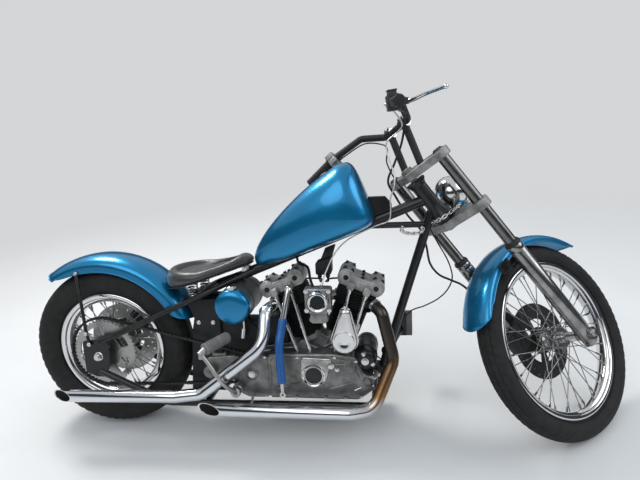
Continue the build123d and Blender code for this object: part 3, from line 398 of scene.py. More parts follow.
def make_finishes(colours):
    """All the finishes by the names that the pieces use."""
    finishes.update(
        blue=blue_paint(colours),
        black=black_paint(colours),
        satin=satin_black("satin_black", 0.012),
        iron=satin_black("black_barrel_paint", 0.014, 0.6),
        chrome=chrome(),
        plate=chrome("plated_steel", 0.6, 0.16),
        steel=steel(),
        dark_steel=steel("dark_steel", 0.16, 0.4),
        alloy=cast_alloy("cast_alloy", 0.36, 0.42),
        polished=cast_alloy("polished_alloy", 0.5, 0.26, 0.12, 0.12),
        slider=cast_alloy("dull_fork_alloy", 0.36, 0.22, 0.06, 0.12),
        tyre=tyre_rubber(),
        rubber=soft_rubber(),
        leather=black_leather(),
        sleeve=blue_sleeve(),
        exhaust=header_chrome(),
        glass=lamp_glass(),
        dusty_black=satin_black("dusty_black_paint", 0.035, 0.4),
        # soot and painted shade: the very black lining inside the pipe ends
        soot=satin_black("pipe_soot", 0.006, 0.9),
        grey_rubber=satin_black("grey_pedal_rubber", 0.12, 0.55),
        oily=steel("oily_chain_steel", 0.06, 0.5),
        cover=cast_alloy("grey_cover_alloy", 0.25, 0.4, 0.3, 0.06),
        rocker=cast_alloy("grey_cast_alloy", 0.46, 0.5, 0.45),
        tree=cast_alloy("dull_tree_alloy", 0.4, 0.6, 0.8),
        fork_tube=steel("dull_fork_chrome", 0.17, 0.2),
        braid=braided_steel(),
        spoke=chrome("dull_spoke_plate", 0.3, 0.2),
    )


# Shaping
def finish_piece(name, bm, finish, body, slot, where, replaces=(), sharp=38.0, merge=True, modifiers=()):
    """Turns a bmesh, shaped in its own frame, into a piece in its place that rides on a body."""
    if merge:
        bmesh.ops.remove_doubles(bm, verts=bm.verts, dist=0.02)
    bm.transform(where)
    bmesh.ops.recalc_face_normals(bm, faces=bm.faces)
    mesh = bpy.data.meshes.new(name)
    bm.to_mesh(mesh)
    bm.free()
    mesh.materials.append(finishes[finish])
    mesh.shade_smooth()
    mesh.set_sharp_from_angle(angle=radians(sharp))
    piece = bpy.data.objects.new(name, mesh)
    bpy.context.scene.collection.objects.link(piece)
    for kind, settings in modifiers:
        modifier = piece.modifiers.new(kind.title(), kind)
        for key, value in settings.items():
            setattr(modifier, key, value)
    if body:
        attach(piece, body)
    if replaces:
        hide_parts(*replaces)
    return piece


def along(direction, at=(0, 0, 0)):
    """A matrix whose Z runs along a direction, at a point."""
    matrix = Vector(direction).to_track_quat("Z", "Y").to_matrix().to_4x4()
    matrix.translation = Vector(at)
    return matrix


def bar(bm, start, end, radius, segments=16, end_radius=None):
    """A capped round bar, or a cone, between two points."""
    start, end = Vector(start), Vector(end)
    run = end - start
    matrix = along(run, (start + end) / 2)
    bmesh.ops.create_cone(
        bm,
        cap_ends=True,
        segments=segments,
        radius1=radius,
        radius2=radius if end_radius is None else end_radius,
        depth=run.length,
        matrix=matrix,
    )


def block(bm, size, at, bevel=0.0, segments=2):
    """A box with softened edges at a place, or in a frame."""
    matrix = at if isinstance(at, Matrix) else Matrix.Translation(at)
    made = bmesh.ops.create_cube(bm, size=1.0, matrix=matrix @ Matrix.Diagonal((*size, 1.0)))
    if bevel:
        verts = set(made["verts"])
        edges = [e for e in bm.edges if e.verts[0] in verts and e.verts[1] in verts]
        bmesh.ops.bevel(
            bm, geom=edges, offset=bevel, affect="EDGES", segments=segments, profile=0.5, material=-1
        )


def stamp(bm):
    """Marks all points drawn so far, so that later ones can be told apart."""
    layer = bm.verts.layers.int.get("drawn") or bm.verts.layers.int.new("drawn")
    number = 1 + max((v[layer] for v in bm.verts), default=0)
    for v in bm.verts:
        if v[layer] == 0:
            v[layer] = number
    return number


def since(bm, before):
    """The points drawn since a stamp."""
    layer = bm.verts.layers.int.get("drawn") or bm.verts.layers.int.new("drawn")
    return [v for v in bm.verts if v[layer] == 0 or v[layer] > before]


def turned(bm, profile, steps=64, axis=(0, 1, 0), centre=(0, 0, 0), shut=True):
    """Spins a profile of (along the axis, radius) points; a shut one comes back to its start."""
    profile = list(profile) + [profile[0]] if shut else profile
    axis = Vector(axis).normalized()
    across = axis.orthogonal()
    across = (across - axis * across.dot(axis)).normalized()
    centre = Vector(centre)
    before = stamp(bm)
    verts = [bm.verts.new(centre + axis * a + across * r) for a, r in profile]
    edges = []
    for (_, r1), (_, r2), pair in zip(profile, profile[1:], zip(verts, verts[1:])):
        if r1 > 0.05 or r2 > 0.05:
            edges.append(bm.edges.new(pair))
    bmesh.ops.spin(bm, geom=verts + edges, cent=centre, axis=axis, angle=2 * pi, steps=steps,
                   use_merge=True, use_duplicate=False)
    bmesh.ops.remove_doubles(bm, verts=since(bm, before), dist=0.03)


def arc_points(points, bend, detail=6):
    """A path of straight runs with each corner rounded by an arc."""
    points = [Vector(p) for p in points]
    bends = bend if isinstance(bend, (list, tuple)) else [bend] * (len(points) - 2)
    path = [points[0]]
    for before, corner, after, radius in zip(points, points[1:], points[2:], bends):
        back, on = (before - corner).normalized(), (after - corner).normalized()
        half = back.angle(on) / 2
        reach = radius / tan(half)
        centre = corner + (back + on).normalized() * (radius / sin(half))
        first, last = corner + back * reach - centre, corner + on * reach - centre
        turn = first.angle(last)
        axis = first.cross(last).normalized()
        steps = max(2, int(detail * turn / (pi / 4)) + 1)
        for i in range(steps + 1):
            path.append(centre + Matrix.Rotation(turn * i / steps, 3, axis) @ first)
    path.append(points[-1])
    return path


def bolt(bm, at, way, radius, height, washer=True):
    """A hexagon bolt head on a washer."""
    at, way = Vector(at), Vector(way).normalized()
    if washer:
        bar(bm, at - way * 0.3, at + way * 1.0, radius * 1.35, 14)
    bar(bm, at, at + way * height, radius, 6, radius * 0.94)


def settings():
    """The scene's sizes and colours."""
    return bpy.context.scene.chopper_sizes, bpy.context.scene.chopper_colours


def skin(bm, rings, caps=True):
    """Draws one surface through rings of points, each with as many points as the first."""
    count = len(rings[0])
    ring = bmesh.ops.create_circle(bm, cap_ends=False, segments=count, radius=1.0)["verts"]
    first = list(ring)
    for i, points in enumerate(rings):
        if i:
            place = {v: k for k, v in enumerate(ring)}
            edges = [e for v in ring for e in v.link_edges if all(w in place for w in e.verts)]
            out = bmesh.ops.extrude_edge_only(bm, edges=list(dict.fromkeys(edges)))
            fresh = [g for g in out["geom"] if isinstance(g, bmesh.types.BMVert)]
            ring = [None] * count
            for v in fresh:
                for e in v.link_edges:
                    if e.other_vert(v) in place:
                        ring[place[e.other_vert(v)]] = v
        for v, p in zip(ring, points):
            v.co = p
    if caps:
        bm.faces.new(first)
        bm.faces.new(ring)


def pipe(bm, path, radius, segments=20, caps=True, shape=None, bore=0.0, depth=50.0, slash=None,
         loop=False):
    """Sweeps a ring along a path; shape gives a factor for each point, and bore opens the far end."""
    path = [Vector(p) for p in path]
    side = None
    rings = []
    last = len(path) - 1
    before = stamp(bm)
    for i, point in enumerate(path):
        ahead, back = path[min(i + 1, last)], path[max(i - 1, 0)]
        if loop:
            ahead, back = path[(i + 1) % len(path)], path[i - 1]
        way = (ahead - back).normalized()
        side = way.orthogonal() if side is None else side
        side = (side - way * side.dot(way)).normalized()
        up = way.cross(side)
        size = radius * (shape[i] if shape else 1.0)
        turns = [2 * pi * k / segments for k in range(segments)]
        rings.append([point + (side * cos(t) + up * sin(t)) * size for t in turns])
    if bore:
        if slash:
            rings[-1] = [p - way * ((p - path[-1]).dot(Vector(slash)) / way.dot(Vector(slash)))
                         for p in rings[-1]]
        end = rings[-1]
        inner = [path[-1] + (p - path[-1]) * (bore / radius) for p in end]
        rings.append(inner)
        rings.append([p - way * depth for p in inner])
    if loop:
        skin(bm, rings + [rings[0]], False)
        bmesh.ops.remove_doubles(bm, verts=since(bm, before), dist=1e-3)
    else:
        skin(bm, rings, caps)
    return rings


def smooth_path(points, steps=6):
    """A curve through points, with even tangents."""
    points = [Vector(p) for p in points]
    ends = [points[0] * 2 - points[1]] + points + [points[-1] * 2 - points[-2]]
    path = []
    for before, a, b, after in zip(ends, ends[1:], ends[2:], ends[3:]):
        for i in range(steps):
            t = i / steps
            lead, trail = (b - before) * 0.5, (after - a) * 0.5
            path.append(
                a * (2 * t**3 - 3 * t**2 + 1) + lead * (t**3 - 2 * t**2 + t)
                + b * (3 * t**2 - 2 * t**3) + trail * (t**3 - t**2)
            )
    path.append(points[-1])
    return path


def circle(radius, count, centre=(0.0, 0.0)):
    """Points round a circle in the side view."""
    turns = [2 * pi * i / count for i in range(count)]
    return [(centre[0] + radius * sin(t), centre[1] + radius * cos(t)) for t in turns]


def rounded(points, radius, steps=4):
    """A closed outline with each corner rounded."""
    outline = []
    points = [Vector(p) for p in points]
    for i, corner in enumerate(points):
        before, after = points[i - 1], points[(i + 1) % len(points)]
        back, on = (before - corner).normalized(), (after - corner).normalized()
        half = acos(max(-1.0, min(1.0, back.dot(on)))) / 2
        reach = min(radius / tan(half), (before - corner).length * 0.45, (after - corner).length * 0.45)
        first, last = corner + back * reach, corner + on * reach
        for k in range(steps + 1):
            t = k / steps
            outline.append(tuple(first * (1 - t) ** 2 + corner * (2 * t * (1 - t)) + last * t**2))
    return outline


def hull_of(circles, steps=48):
    """The outline round several circles of (x, z, radius)."""
    cloud = bmesh.new()
    for x, z, radius in circles:
        for px, pz in circle(radius, steps, (x, z)):
            cloud.verts.new((px, pz, 0.0))
    flat = [v.co.to_2d() for v in cloud.verts]
    cloud.free()
    middle = sum(flat, Vector((0.0, 0.0))) / len(flat)
    from_hull = [flat[i] for i in convex_hull_2d(flat)]
    return sorted((tuple(p) for p in from_hull), key=lambda p: atan2(p[0] - middle.x, p[1] - middle.y))


def slab(bm, outline, low, high, round_high=0.0, round_low=0.0, holes=(), segments=3):
    """A side view made thick along Y, with rounded faces or holes right through."""
    verts, edges = [], []
    for loop in (outline, *holes):
        ring = [bm.verts.new((x, low, z)) for x, z in loop]
        verts += ring
        edges += [bm.edges.new(pair) for pair in zip(ring, ring[1:] + ring[:1])]
    if holes:
        made = bmesh.ops.triangle_fill(bm, use_beauty=True, edges=edges)["geom"]
        faces = [g for g in made if isinstance(g, bmesh.types.BMFace)]
    else:
        faces = [bm.faces.new(verts)]
    out = bmesh.ops.extrude_face_region(bm, geom=faces, use_keep_orig=True)["geom"]
    fresh = [g for g in out if isinstance(g, bmesh.types.BMVert)]
    bmesh.ops.translate(bm, vec=(0, high - low, 0), verts=fresh)
    for amount, ring in ((round_high, fresh), (round_low, verts)):
        if amount:
            inside = set(ring)
            rim = [e for e in bm.edges if e.verts[0] in inside and e.verts[1] in inside]
            bmesh.ops.bevel(
                bm, geom=rim, offset=amount, affect="EDGES", segments=segments, profile=0.5, material=-1,
                clamp_overlap=True,
            )


def rounded_box_ring(width, depth, radius, height):
    """The ring of a rounded rectangle at a height."""
    ring = []
    radius = min(radius, width / 2 - 0.5, depth / 2 - 0.5)
    steps = 5
    for i, (sx, sy) in enumerate(((1, 1), (-1, 1), (-1, -1), (1, -1))):
        for k in range(steps + 1):
            turn = pi / 2 * (i + k / steps)
            ring.append(Vector((
                sx * (width / 2 - radius) + radius * cos(turn),
                sy * (depth / 2 - radius) + radius * sin(turn),
                height,
            )))
    return ring


def piece(name, bm, finish, slot, replaces=(), where=BIKE, body="frame", sharp=38.0, merge=False,
          modifiers=()):
    """A piece of the frame body, or of another, drawn in the bike's own frame or in another."""
    return finish_piece(name, bm, finish, body, slot, where, replaces, sharp, merge, modifiers)


def drawn(name, finish, slot, *more, **named):
    """Turns a function that draws one piece into a function that builds it."""

    def wrap(draw):
        def build():
            bm = bmesh.new()
            draw(bm)
            piece(name, bm, finish, slot, *more, **named)

        return build

    return wrap


def moved(bm, before, matrix):
    """Moves what was drawn since a stamp."""
    bmesh.ops.transform(bm, matrix=matrix, verts=since(bm, before))


# Wheels
def tyre_mesh(bead, flange, inside, depth, radius, width, crown_radius, shoulder, steps, grooves):
    """A tyre with walls, shoulder and grooved tread."""
    bm = bmesh.new()
    half = inside - 0.4
    drop = crown_radius - sqrt(crown_radius**2 - shoulder**2)
    profile = [(-half, bead + 0.6), (-half, flange - 1.5)]
    wall = ((0.0, half), (0.1, half + 2.5), (0.35, width / 2 - 3.5), (0.6, width / 2),
            (0.82, width / 2 - 3.0))
    low, high = flange + 0.5, radius - drop
    walls = [(y, low + (high - low) * share) for share, y in wall]
    walls.insert(2, (half + 4.2, low + 7.0))
    walls.insert(2, (half + 5.6, low + 5.0))
    profile += [(-y, r) for y, r in walls]
    count = 28
    edge = shoulder * 1.03
    for i in range(count + 1):
        y = -edge + 2 * edge * i / count
        profile.append((y, radius - crown_radius + sqrt(crown_radius**2 - min(abs(y), crown_radius) ** 2)))
    profile += [(y, r) for y, r in reversed(walls)]
    profile += [(half, flange - 1.5), (half, bead + 0.6)]
    turned(bm, profile, steps)
    pitch = 2 * pi / (steps // 4)
    for v in bm.verts:
        r = hypot(v.co.x, v.co.z)
        y = v.co.y
        if r < radius - drop - 4.0 or abs(y) > edge + 1.0:
            continue
        angle = atan2(v.co.x, v.co.z)
        cut = 0.0
        for at in grooves:
            if abs(abs(y) - at) < edge / count * 1.05:
                cut = depth
        slant = (angle / pitch + abs(y) / (edge * 0.9)) % 1.0
        if abs(y) > grooves[-1] * 0.55 and slant < 0.26:
            cut = max(cut, depth * 0.8)
        v.co.x *= (r - cut) / r
        v.co.z *= (r - cut) / r
    return bm


def rim_mesh(bead, flange, inside, well):
    """A rolled rim with beaded edges."""
    outside = inside + 3.6
    ledge = inside - 9.0
    wall = 3.2
    bm = bmesh.new()
    half = [
        (ledge - 4.0, well),
        (ledge - 1.0, well + 3.0),
        (ledge + 1.0, bead - 1.5),
        (inside - 2.0, bead),
        (inside, bead + 2.5),
        (inside, flange - 2.0),
        (inside + 0.8, flange - 0.3),
        (inside + 2.4, flange),
        (outside, flange - 1.4),
        (outside + 0.3, flange - 4.0),
        (outside - 0.3, bead + 1.0),
        (inside + 0.5, bead - wall),
        (ledge + 4.0, bead - wall - 1.0),
        (ledge + 1.5, well - wall + 3.0),
        (ledge - 3.0, well - wall),
    ]
    profile = half + [(-y, r) for y, r in reversed(half)]
    turned(bm, profile, 96)
    return bm


# The hubs are alike: the barrel, both flanges by their middle, the half length and the crossing of the spokes
BARREL_RADIUS, FLANGE_RADIUS, FLANGE_Y, FLANGE_THICK, HUB_HALF = 24.0, 40.0, 30.0, 5.0, 46.0
SPOKE_SWEEP = radians(62.0)
REAR_DISC_Y, FRONT_DISC_Y = 66.0, 60.0


def spoke_mesh(well, inside, count, radius):
    """Crossed spokes with bent heads at the hub and nipples at the rim."""
    bm = bmesh.new()
    rim_radius = well - 4.4
    hub_radius = FLANGE_RADIUS - 3.6
    for i in range(count):
        side = 1 if i % 2 == 0 else -1
        way = 1 if (i // 2) % 2 == 0 else -1
        rim_angle = 2 * pi / count * i
        hub_angle = rim_angle - way * SPOKE_SWEEP
        off = FLANGE_THICK / 2 + radius + (1.7 if way > 0 else 0.2)
        start = Vector((hub_radius * sin(hub_angle), side * (FLANGE_Y + way * off),
                        hub_radius * cos(hub_angle)))
        rim_y = side * (inside * 0.18 + (4.0 if way > 0 else 0.0))
        end = Vector((rim_radius * sin(rim_angle), rim_y, rim_radius * cos(rim_angle)))
        run = (end - start).normalized()
        bar(bm, start, end, radius, 8)
        bar(bm, end - run * 17.0, end + run * 1.5, radius * 1.9, 6, radius * 2.2)
        head, tail = (Vector((0, way * side * y, 0)) for y in (0.2, off + FLANGE_THICK / 2 - 0.6))
        bar(bm, start - head, start - tail, radius, 8)
    return bm


def hub_mesh(disc_y):
    """A turned hub with dished flanges and a longer end for the disc."""
    bm = bmesh.new()
    near, far = FLANGE_Y - FLANGE_THICK / 2, FLANGE_Y + FLANGE_THICK / 2
    half, barrel, flange = HUB_HALF, BARREL_RADIUS, FLANGE_RADIUS
    small = barrel * 0.8
    left = [(near - 12, barrel - 2), (near - 5, barrel + 1), (near, barrel + 6), (near, flange - 1.2),
            (near + 1.2, flange), (far - 1.2, flange), (far, flange - 1.2), (far, small + 1),
            (far + 1, small)]
    profile = [(-half, 10.0), (-half, small - 1.5),
               (-half + 1.5, small)] + [(-y, r) for y, r in reversed(left)]
    profile += [(0, barrel - 3)] + left + [(disc_y - 2.7, small), (disc_y - 2.7, 10.0)]
    turned(bm, profile, 64)
    return bm


def make_wheel(prefix, where, disc_y, well, bead, flange, inside, sizes, **tread):
    """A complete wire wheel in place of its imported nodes."""

    def part(name, bm, finish, slot, node=None, sharp=38.0, merge=True):
        replaces = [f"{prefix}_{node}"] if node else ()
        finish_piece(f"{prefix}_{name}", bm, finish, f"{prefix}_wheel", slot, where, replaces, sharp, merge)

    tyre = tyre_mesh(bead, flange, inside, sizes.tread_depth / MM, **tread)
    part("tyre_rubber", tyre, "tyre", "tyre", "tyre", 50)
    part("rim_chrome", rim_mesh(bead, flange, inside, well), "chrome", "chrome", "rim", 60)
    spokes = spoke_mesh(well, inside, sizes.spokes, sizes.spoke_radius / MM)
    part("wire_spokes", spokes, "spoke", "chrome", "spokes", 50, False)
    part("hub_metal", hub_mesh(disc_y), "polished", "steel", "hub", 40)
    bolts = bmesh.new()
    for i in range(5):
        angle = 2 * pi / 5 * i
        at = (29 * sin(angle), disc_y + 2.4, 29 * cos(angle))
        bolt(bolts, at, (0, 1, 0), 5.5, 5.0)
    bar(bolts, (0, disc_y + 2.0, 0), (0, disc_y + 3.5, 0), 36, 40)
    part("disc_bolts", bolts, "steel", "steel", merge=False)


class CHOPPER_OT_wheels(bpy.types.Operator):
    """Builds both wire wheels with their tyres"""

    bl_idname = "chopper.wheels"
    bl_label = "Wheels"

    def execute(self, context):
        sizes, _ = settings()
        make_wheel("rear", REAR_WHEEL, disc_y=REAR_DISC_Y, well=188.0, bead=203.0, flange=219.0,
                   inside=38.0, sizes=sizes, radius=REAR_RADIUS, width=130.0, crown_radius=105.0,
                   shoulder=50.0, steps=240, grooves=(12.0, 34.0))
        make_wheel("front", FRONT_WHEEL, disc_y=FRONT_DISC_Y, well=255.0, bead=266.0, flange=279.5,
                   inside=25.0, sizes=sizes, radius=FRONT_RADIUS, width=90.0, crown_radius=48.0,
                   shoulder=38.0, steps=280, grooves=(8.0, 24.0))
        return {"FINISHED"}


# Brakes and drive
def drilled_disc(bm, radius, y, windows, middle):
    """A drilled brake disc with a windowed carrier."""
    holes = [circle(middle, 32)]
    for share, count, hole in ((0.72, 16, 3.4), (0.82, 16, 3.4), (0.92, 16, 3.4)):
        for i in range(count):
            turn = 2 * pi * (i + 0.5 * (share == 0.82)) / count
            centre = (radius * share * sin(turn), radius * share * cos(turn))
            holes.append(circle(hole, 8, centre))
    for i in range(windows):
        turn = 2 * pi * i / windows
        spread = pi / windows * 0.62
        inner, outer = radius * 0.36, radius * 0.58
        arc = [turn - spread + 2 * spread * k / 5 for k in range(6)]
        holes.append(
            [(outer * sin(t), outer * cos(t)) for t in arc]
            + [(inner * sin(t), inner * cos(t)) for t in reversed(arc)]
        )
    slab(bm, circle(radius, 96), y - 2.4, y + 2.4, holes=holes)


def toothed(radius, teeth, depth):
    """The outline of a chain sprocket."""
    outline = []
    for i in range(teeth):
        for share, drop in ((0.0, depth), (0.22, depth * 0.8), (0.4, 0.12 * depth), (0.5, 0.0),
                            (0.6, 0.12 * depth), (0.78, depth * 0.8)):
            turn = 2 * pi * (i + share) / teeth
            outline.append(((radius - drop) * sin(turn), (radius - drop) * cos(turn)))
    return outline


def chain_places(big, small, pitch):
    """Places and directions of the links round two circles of (x, z, radius)."""
    bx, bz, br = big
    sx, sz, sr = small
    apart = hypot(sx - bx, sz - bz)
    base = atan2(sz - bz, sx - bx)
    open_angle = acos((br - sr) / apart)
    straight = sqrt(apart**2 - (br - sr) ** 2)
    arcs = (sr * 2 * open_angle, br * (2 * pi - 2 * open_angle))
    total = 2 * straight + sum(arcs)
    count = 2 * round(total / pitch / 2)
    top, low = base + open_angle, base - open_angle
    for i in range(count):
        run = total * i / count
        if run < straight:
            start = Vector((bx + br * cos(top), bz + br * sin(top)))
            way = top - pi / 2
            yield start + Vector((cos(way), sin(way))) * run, way
            continue
        run -= straight
        if run < arcs[0]:
            turn = top - run / sr
            yield Vector((sx + sr * cos(turn), sz + sr * sin(turn))), turn - pi / 2
            continue
        run -= arcs[0]
        if run < straight:
            start = Vector((sx + sr * cos(low), sz + sr * sin(low)))
            way = low - pi / 2
            yield start + Vector((cos(way), sin(way))) * run, way
            continue
        turn = low - (run - straight) / br
        yield Vector((bx + br * cos(turn), bz + br * sin(turn))), turn - pi / 2


def brake_discs():
    """Both drilled discs, the rear of steel and the front blackened."""
    disc = bmesh.new()
    drilled_disc(disc, 145.0, REAR_DISC_Y, 6, 26.0)
    piece("rear_disc_drilled", disc, "steel", "steel", ["rear_brake_disc"], REAR_WHEEL, body="rear_wheel",
          sharp=30, merge=True)
    disc = bmesh.new()
    drilled_disc(disc, 140.0, FRONT_DISC_Y, 5, 26.0)
    piece("front_disc_drilled", disc, "satin", "dark", ["front_brake_disc"], FRONT_WHEEL,
          body="front_wheel", sharp=30, merge=True)


@drawn("rear_sprocket_toothed", "steel", "steel", ["rear_sprocket"], REAR_WHEEL, body="rear_wheel",
       sharp=30)
def rear_sprocket(bm):
    """The windowed rear sprocket with its hub and bolts."""
    windows = []
    for i in range(5):
        arc = [radians(72 * i + 14 + 44 * k / 7) for k in range(8)]
        windows.append(
            [(103 * cos(t), 103 * sin(t)) for t in arc]
            + [(66 * cos(t), 66 * sin(t)) for t in reversed(arc)]
        )
    slab(bm, toothed(128.0, 51, 7.0), -85, -79, holes=[circle(20, 24)] + windows)
    turned(bm, [(-79, 20), (-79, 50), (-72, 46), (-68, 38), (-46, 38), (-46, 20)], 48)
    for i in range(5):
        turn = radians(72 * i)
        bolt(bm, (58 * cos(turn), -85, 58 * sin(turn)), (0, -1, 0), 6.5, 5)


SPROCKET_X, SPROCKET_Z = 575, 262


@drawn("small_sprocket_toothed", "dark_steel", "steel", ["transmission_sprocket"])
def small_sprocket(bm):
    """The transmission's sprocket with its nut."""
    outline = [(SPROCKET_X + x, SPROCKET_Z + z) for x, z in toothed(46.0, 19, 6.0)]
    slab(bm, outline, -85, -79)
    for low, high, radius, sides in ((-85, -70, 15, 24), (-91, -85, 14, 6)):
        bar(bm, (SPROCKET_X, low, SPROCKET_Z), (SPROCKET_X, high, SPROCKET_Z), radius, sides)


@drawn("final_chain_links", "oily", "steel", ["drive_chain"], sharp=30)
def final_chain(bm):
    """The roller chain round both sprockets."""
    pitch = 15.875
    for i, (at, way) in enumerate(chain_places((0, REAR_RADIUS, 137), (SPROCKET_X, SPROCKET_Z, 55), pitch)):
        matrix = Matrix.Translation((at.x, -82, at.y)) @ Matrix.Rotation(-way, 4, "Y")
        out = 5.6 if i % 2 else 3.9
        before = stamp(bm)
        figure = [(0, 5), (-4.2, 3), (-5.4, 0), (-4.2, -3), (0, -5), (7.9, -3.2), (15.9, -5), (20.1, -3),
                  (21.3, 0), (20.1, 3), (15.9, 5), (7.9, 3.2)]
        for y in (-out - 1.7, out):
            slab(bm, figure, y, y + 1.7)
        bar(bm, (0, -7.6, 0), (0, 7.6, 0), 2.4, 8)
        bar(bm, (0, -3.8, 0), (0, 3.8, 0), 4.6, 8)
        moved(bm, before, matrix)


@drawn("rear_caliper_body", "satin", "dark", ["rear_caliper"])
def rear_caliper(bm):
    """The rear caliper with its torque arm."""
    turn = Matrix.Translation((92, 66, 414)) @ Matrix.Rotation(radians(45), 4, "Y")
    for y in (-15.5, 15.5):
        block(bm, (92, 13.5, 58), turn @ Matrix.Translation((0, y, 0)), 5, 3)
        for x in (-24, 24):
            before = stamp(bm)
            bar(bm, (x, y - 10.5 if y < 0 else y + 5, 0), (x, y - 5 if y < 0 else y + 10.5, 0), 17, 28, 15
                if y > 0 else 17)
            moved(bm, before, turn)
    block(bm, (90, 44, 13), turn @ Matrix.Translation((0, 0, 24)), 3, 2)
    for x in (-38, 38):
        before = stamp(bm)
        bolt(bm, (x, 22, 18), (0, 1, 0), 5.5, 5)
        bolt(bm, (x, -22, 18), (0, -1, 0), 5.5, 5)
        moved(bm, before, turn)
    bar(bm, (86, 84, 406), (34, 117, 356), 8, 14)


@drawn("front_caliper_body", "satin", "dark", ["front_caliper"], FORK, body="steering")
def front_caliper(bm):
    """The front caliper on its fork leg."""
    for y in (45.5, 74.5):
        block(bm, (64, 15, 88), (-50, y, 86), 6, 3)
        for z in (66, 106):
            bar(bm, (-46, y - 9 if y < 60 else y + 5, z), (-46, y - 5 if y < 60 else y + 9, z), 15, 28)
    block(bm, (16, 46, 86), (-75, 60, 86), 4, 2)
    block(bm, (92, 9, 26), (0, 88, 85), 2, 2)
    for z in (52, 120):
        bolt(bm, (-66, 82, z), (0, 1, 0), 5, 5)
    bolt(bm, (-30, 92, 85), (0, 1, 0), 6, 6)
    bolt(bm, (-50, 62, 130), (0, 0, 1), 6, 5)


@drawn("rear_axle_nuts", "plate", "chrome", ["rear_axle"])
def rear_axle_nuts(bm):
    """The rear axle, its nuts, adjusters and plate bolts."""
    for side in (-1, 1):
        bar(bm, (0, side * 118, 322), (0, side * 146, 322), 9.3, 20)
        bar(bm, (0, side * 126.2, 322), (0, side * 128.5, 322), 17, 28)
        bar(bm, (0, side * 128.5, 322), (0, side * 139, 322), 15.5, 6, 14.8)
        bolt(bm, (-38, side * 135, 414), (0, side, 0), 6, 5)
        bolt(bm, (-30, side * 135, 372), (0, side, 0), 6, 5)
        bolt(bm, (-78, side * 86, 636), (0, side, 0), 6, 5)
        # the chain's adjusting bolt behind the axle
        bar(bm, (-74, side * 122, 322), (-14, side * 122, 322), 3.4, 10)
        bar(bm, (-76, side * 122, 322), (-68, side * 122, 322), 6.5, 6)
    bar(bm, (0, -120, 322), (0, 120, 322), 9.4, 20)


class CHOPPER_OT_drive(bpy.types.Operator):
    """Builds the brake discs, calipers, sprockets and final chain"""

    bl_idname = "chopper.drive"
    bl_label = "Brakes and Drive"

    def execute(self, context):
        brake_discs()
        rear_sprocket()
        small_sprocket()
        final_chain()
        rear_caliper()
        front_caliper()
        rear_axle_nuts()
        return {"FINISHED"}


# Bodywork
def fender_piece(name, radius, edge, half, low_deg, high_deg, round_low, round_high, runs, body, node,
                 where):
    """A pressed fender with a rolled edge and tongue-shaped ends; runs says how its skirt runs out there."""
    turn_at = edge + (radius - edge) * 0.35
    profile = [(-half, edge + (turn_at - edge) * k / 4) for k in range(4)]
    count = 36
    for k in range(count + 1):
        t = pi * k / count
        y = -half * copysign(abs(cos(t)) ** 0.88, cos(t))
        profile.append((y, turn_at + (radius - turn_at) * abs(sin(t)) ** 0.92))
    profile += [(half, edge + (turn_at - edge) * k / 4) for k in (3, 2, 1, 0)]
    run = [0.0]
    for first, second in zip(profile, profile[1:]):
        run.append(run[-1] + (Vector(second) - Vector(first)).length)
    low, high = radians(low_deg), radians(high_deg)
    spans = (radians(round_low), radians(round_high))

    def place(share, index):
        """A point of the sheet: share from the low end to the high one, index along the profile."""
        y, r = profile[index]
        q = 2 * run[index] / run[-1] - 1
        tongue = 1 - sqrt(max(0.0, 1 - q * q))
        angle = low + spans[0] * tongue + share * (high - low - (spans[0] + spans[1]) * tongue)
        keep = 1.0
        for at, span, least in runs:
            near = max(0.0, 1.0 - abs(share - at) / span)
            keep = min(keep, 1.0 - (1.0 - least) * (1 - sqrt(max(0.0, 1 - near * near))))
        if r < turn_at:
            r = turn_at - (turn_at - r) * keep
        return Vector((r * cos(angle), y, r * sin(angle)))

    steps, last = 84, len(profile) - 1
    bm = bmesh.new()
    bmesh.ops.create_grid(bm, x_segments=steps, y_segments=last, size=1.0)
    for v in bm.verts:
        v.co = place((v.co.x + 1) / 2, round((v.co.y + 1) / 2 * last))
    piece(name, bm, "blue", "blue", [node], where, body=body, sharp=60,
          modifiers=[("SOLIDIFY", {"thickness": 2.8 * MM, "offset": 0.0})])
    bead = bmesh.new()
    path = [place(i / steps, 0) for i in range(steps)]
    path += [place(1.0, k) for k in range(last)]
    path += [place(1 - i / steps, last) for i in range(steps)]
    path += [place(0.0, last - k) for k in range(last)]
    pipe(bead, path, 2.8, 8, loop=True)
    piece(f"{name}_bead", bead, "blue", "blue", (), where, body=body, sharp=60)


def tank_ring(u, half, top, floor):
    """One section of the tank: a flat floor, full sides and a round crest."""
    ring = []
    middle = floor + 0.34 * (top - floor)
    count = 64
    for k in range(count):
        t = 2 * pi * k / count
        c, s = cos(t), sin(t)
        power = 0.86 if s > 0 else 0.52
        y = half * copysign(abs(c) ** (0.80 if s > 0 else 0.5), c)
        reach = top - middle if s > 0 else middle - floor
        ring.append(Vector((u, y, middle + reach * copysign(abs(s) ** power, s))))
    return ring


def eased(table, at):
    """A smooth value between the rows of a table of (place, value)."""
    places = [row[0] for row in table]
    values = [row[1] for row in table]
    i = max(0, min(len(places) - 2, sum(at >= p for p in places) - 1))
    gaps = [b - a for a, b in zip(places, places[1:])]
    slopes = [(b - a) / g for a, b, g in zip(values, values[1:], gaps)]
    tangents = [slopes[0]]
    for a, b in zip(slopes, slopes[1:]):
        tangents.append(0.0 if a * b <= 0 else 2 * a * b / (a + b))
    tangents.append(slopes[-1])
    t = (at - places[i]) / gaps[i]
    h = gaps[i]
    return (
        values[i] * (2 * t**3 - 3 * t**2 + 1) + tangents[i] * h * (t**3 - 2 * t**2 + t)
        + values[i + 1] * (3 * t**2 - 2 * t**3) + tangents[i + 1] * h * (t**3 - t**2)
    )


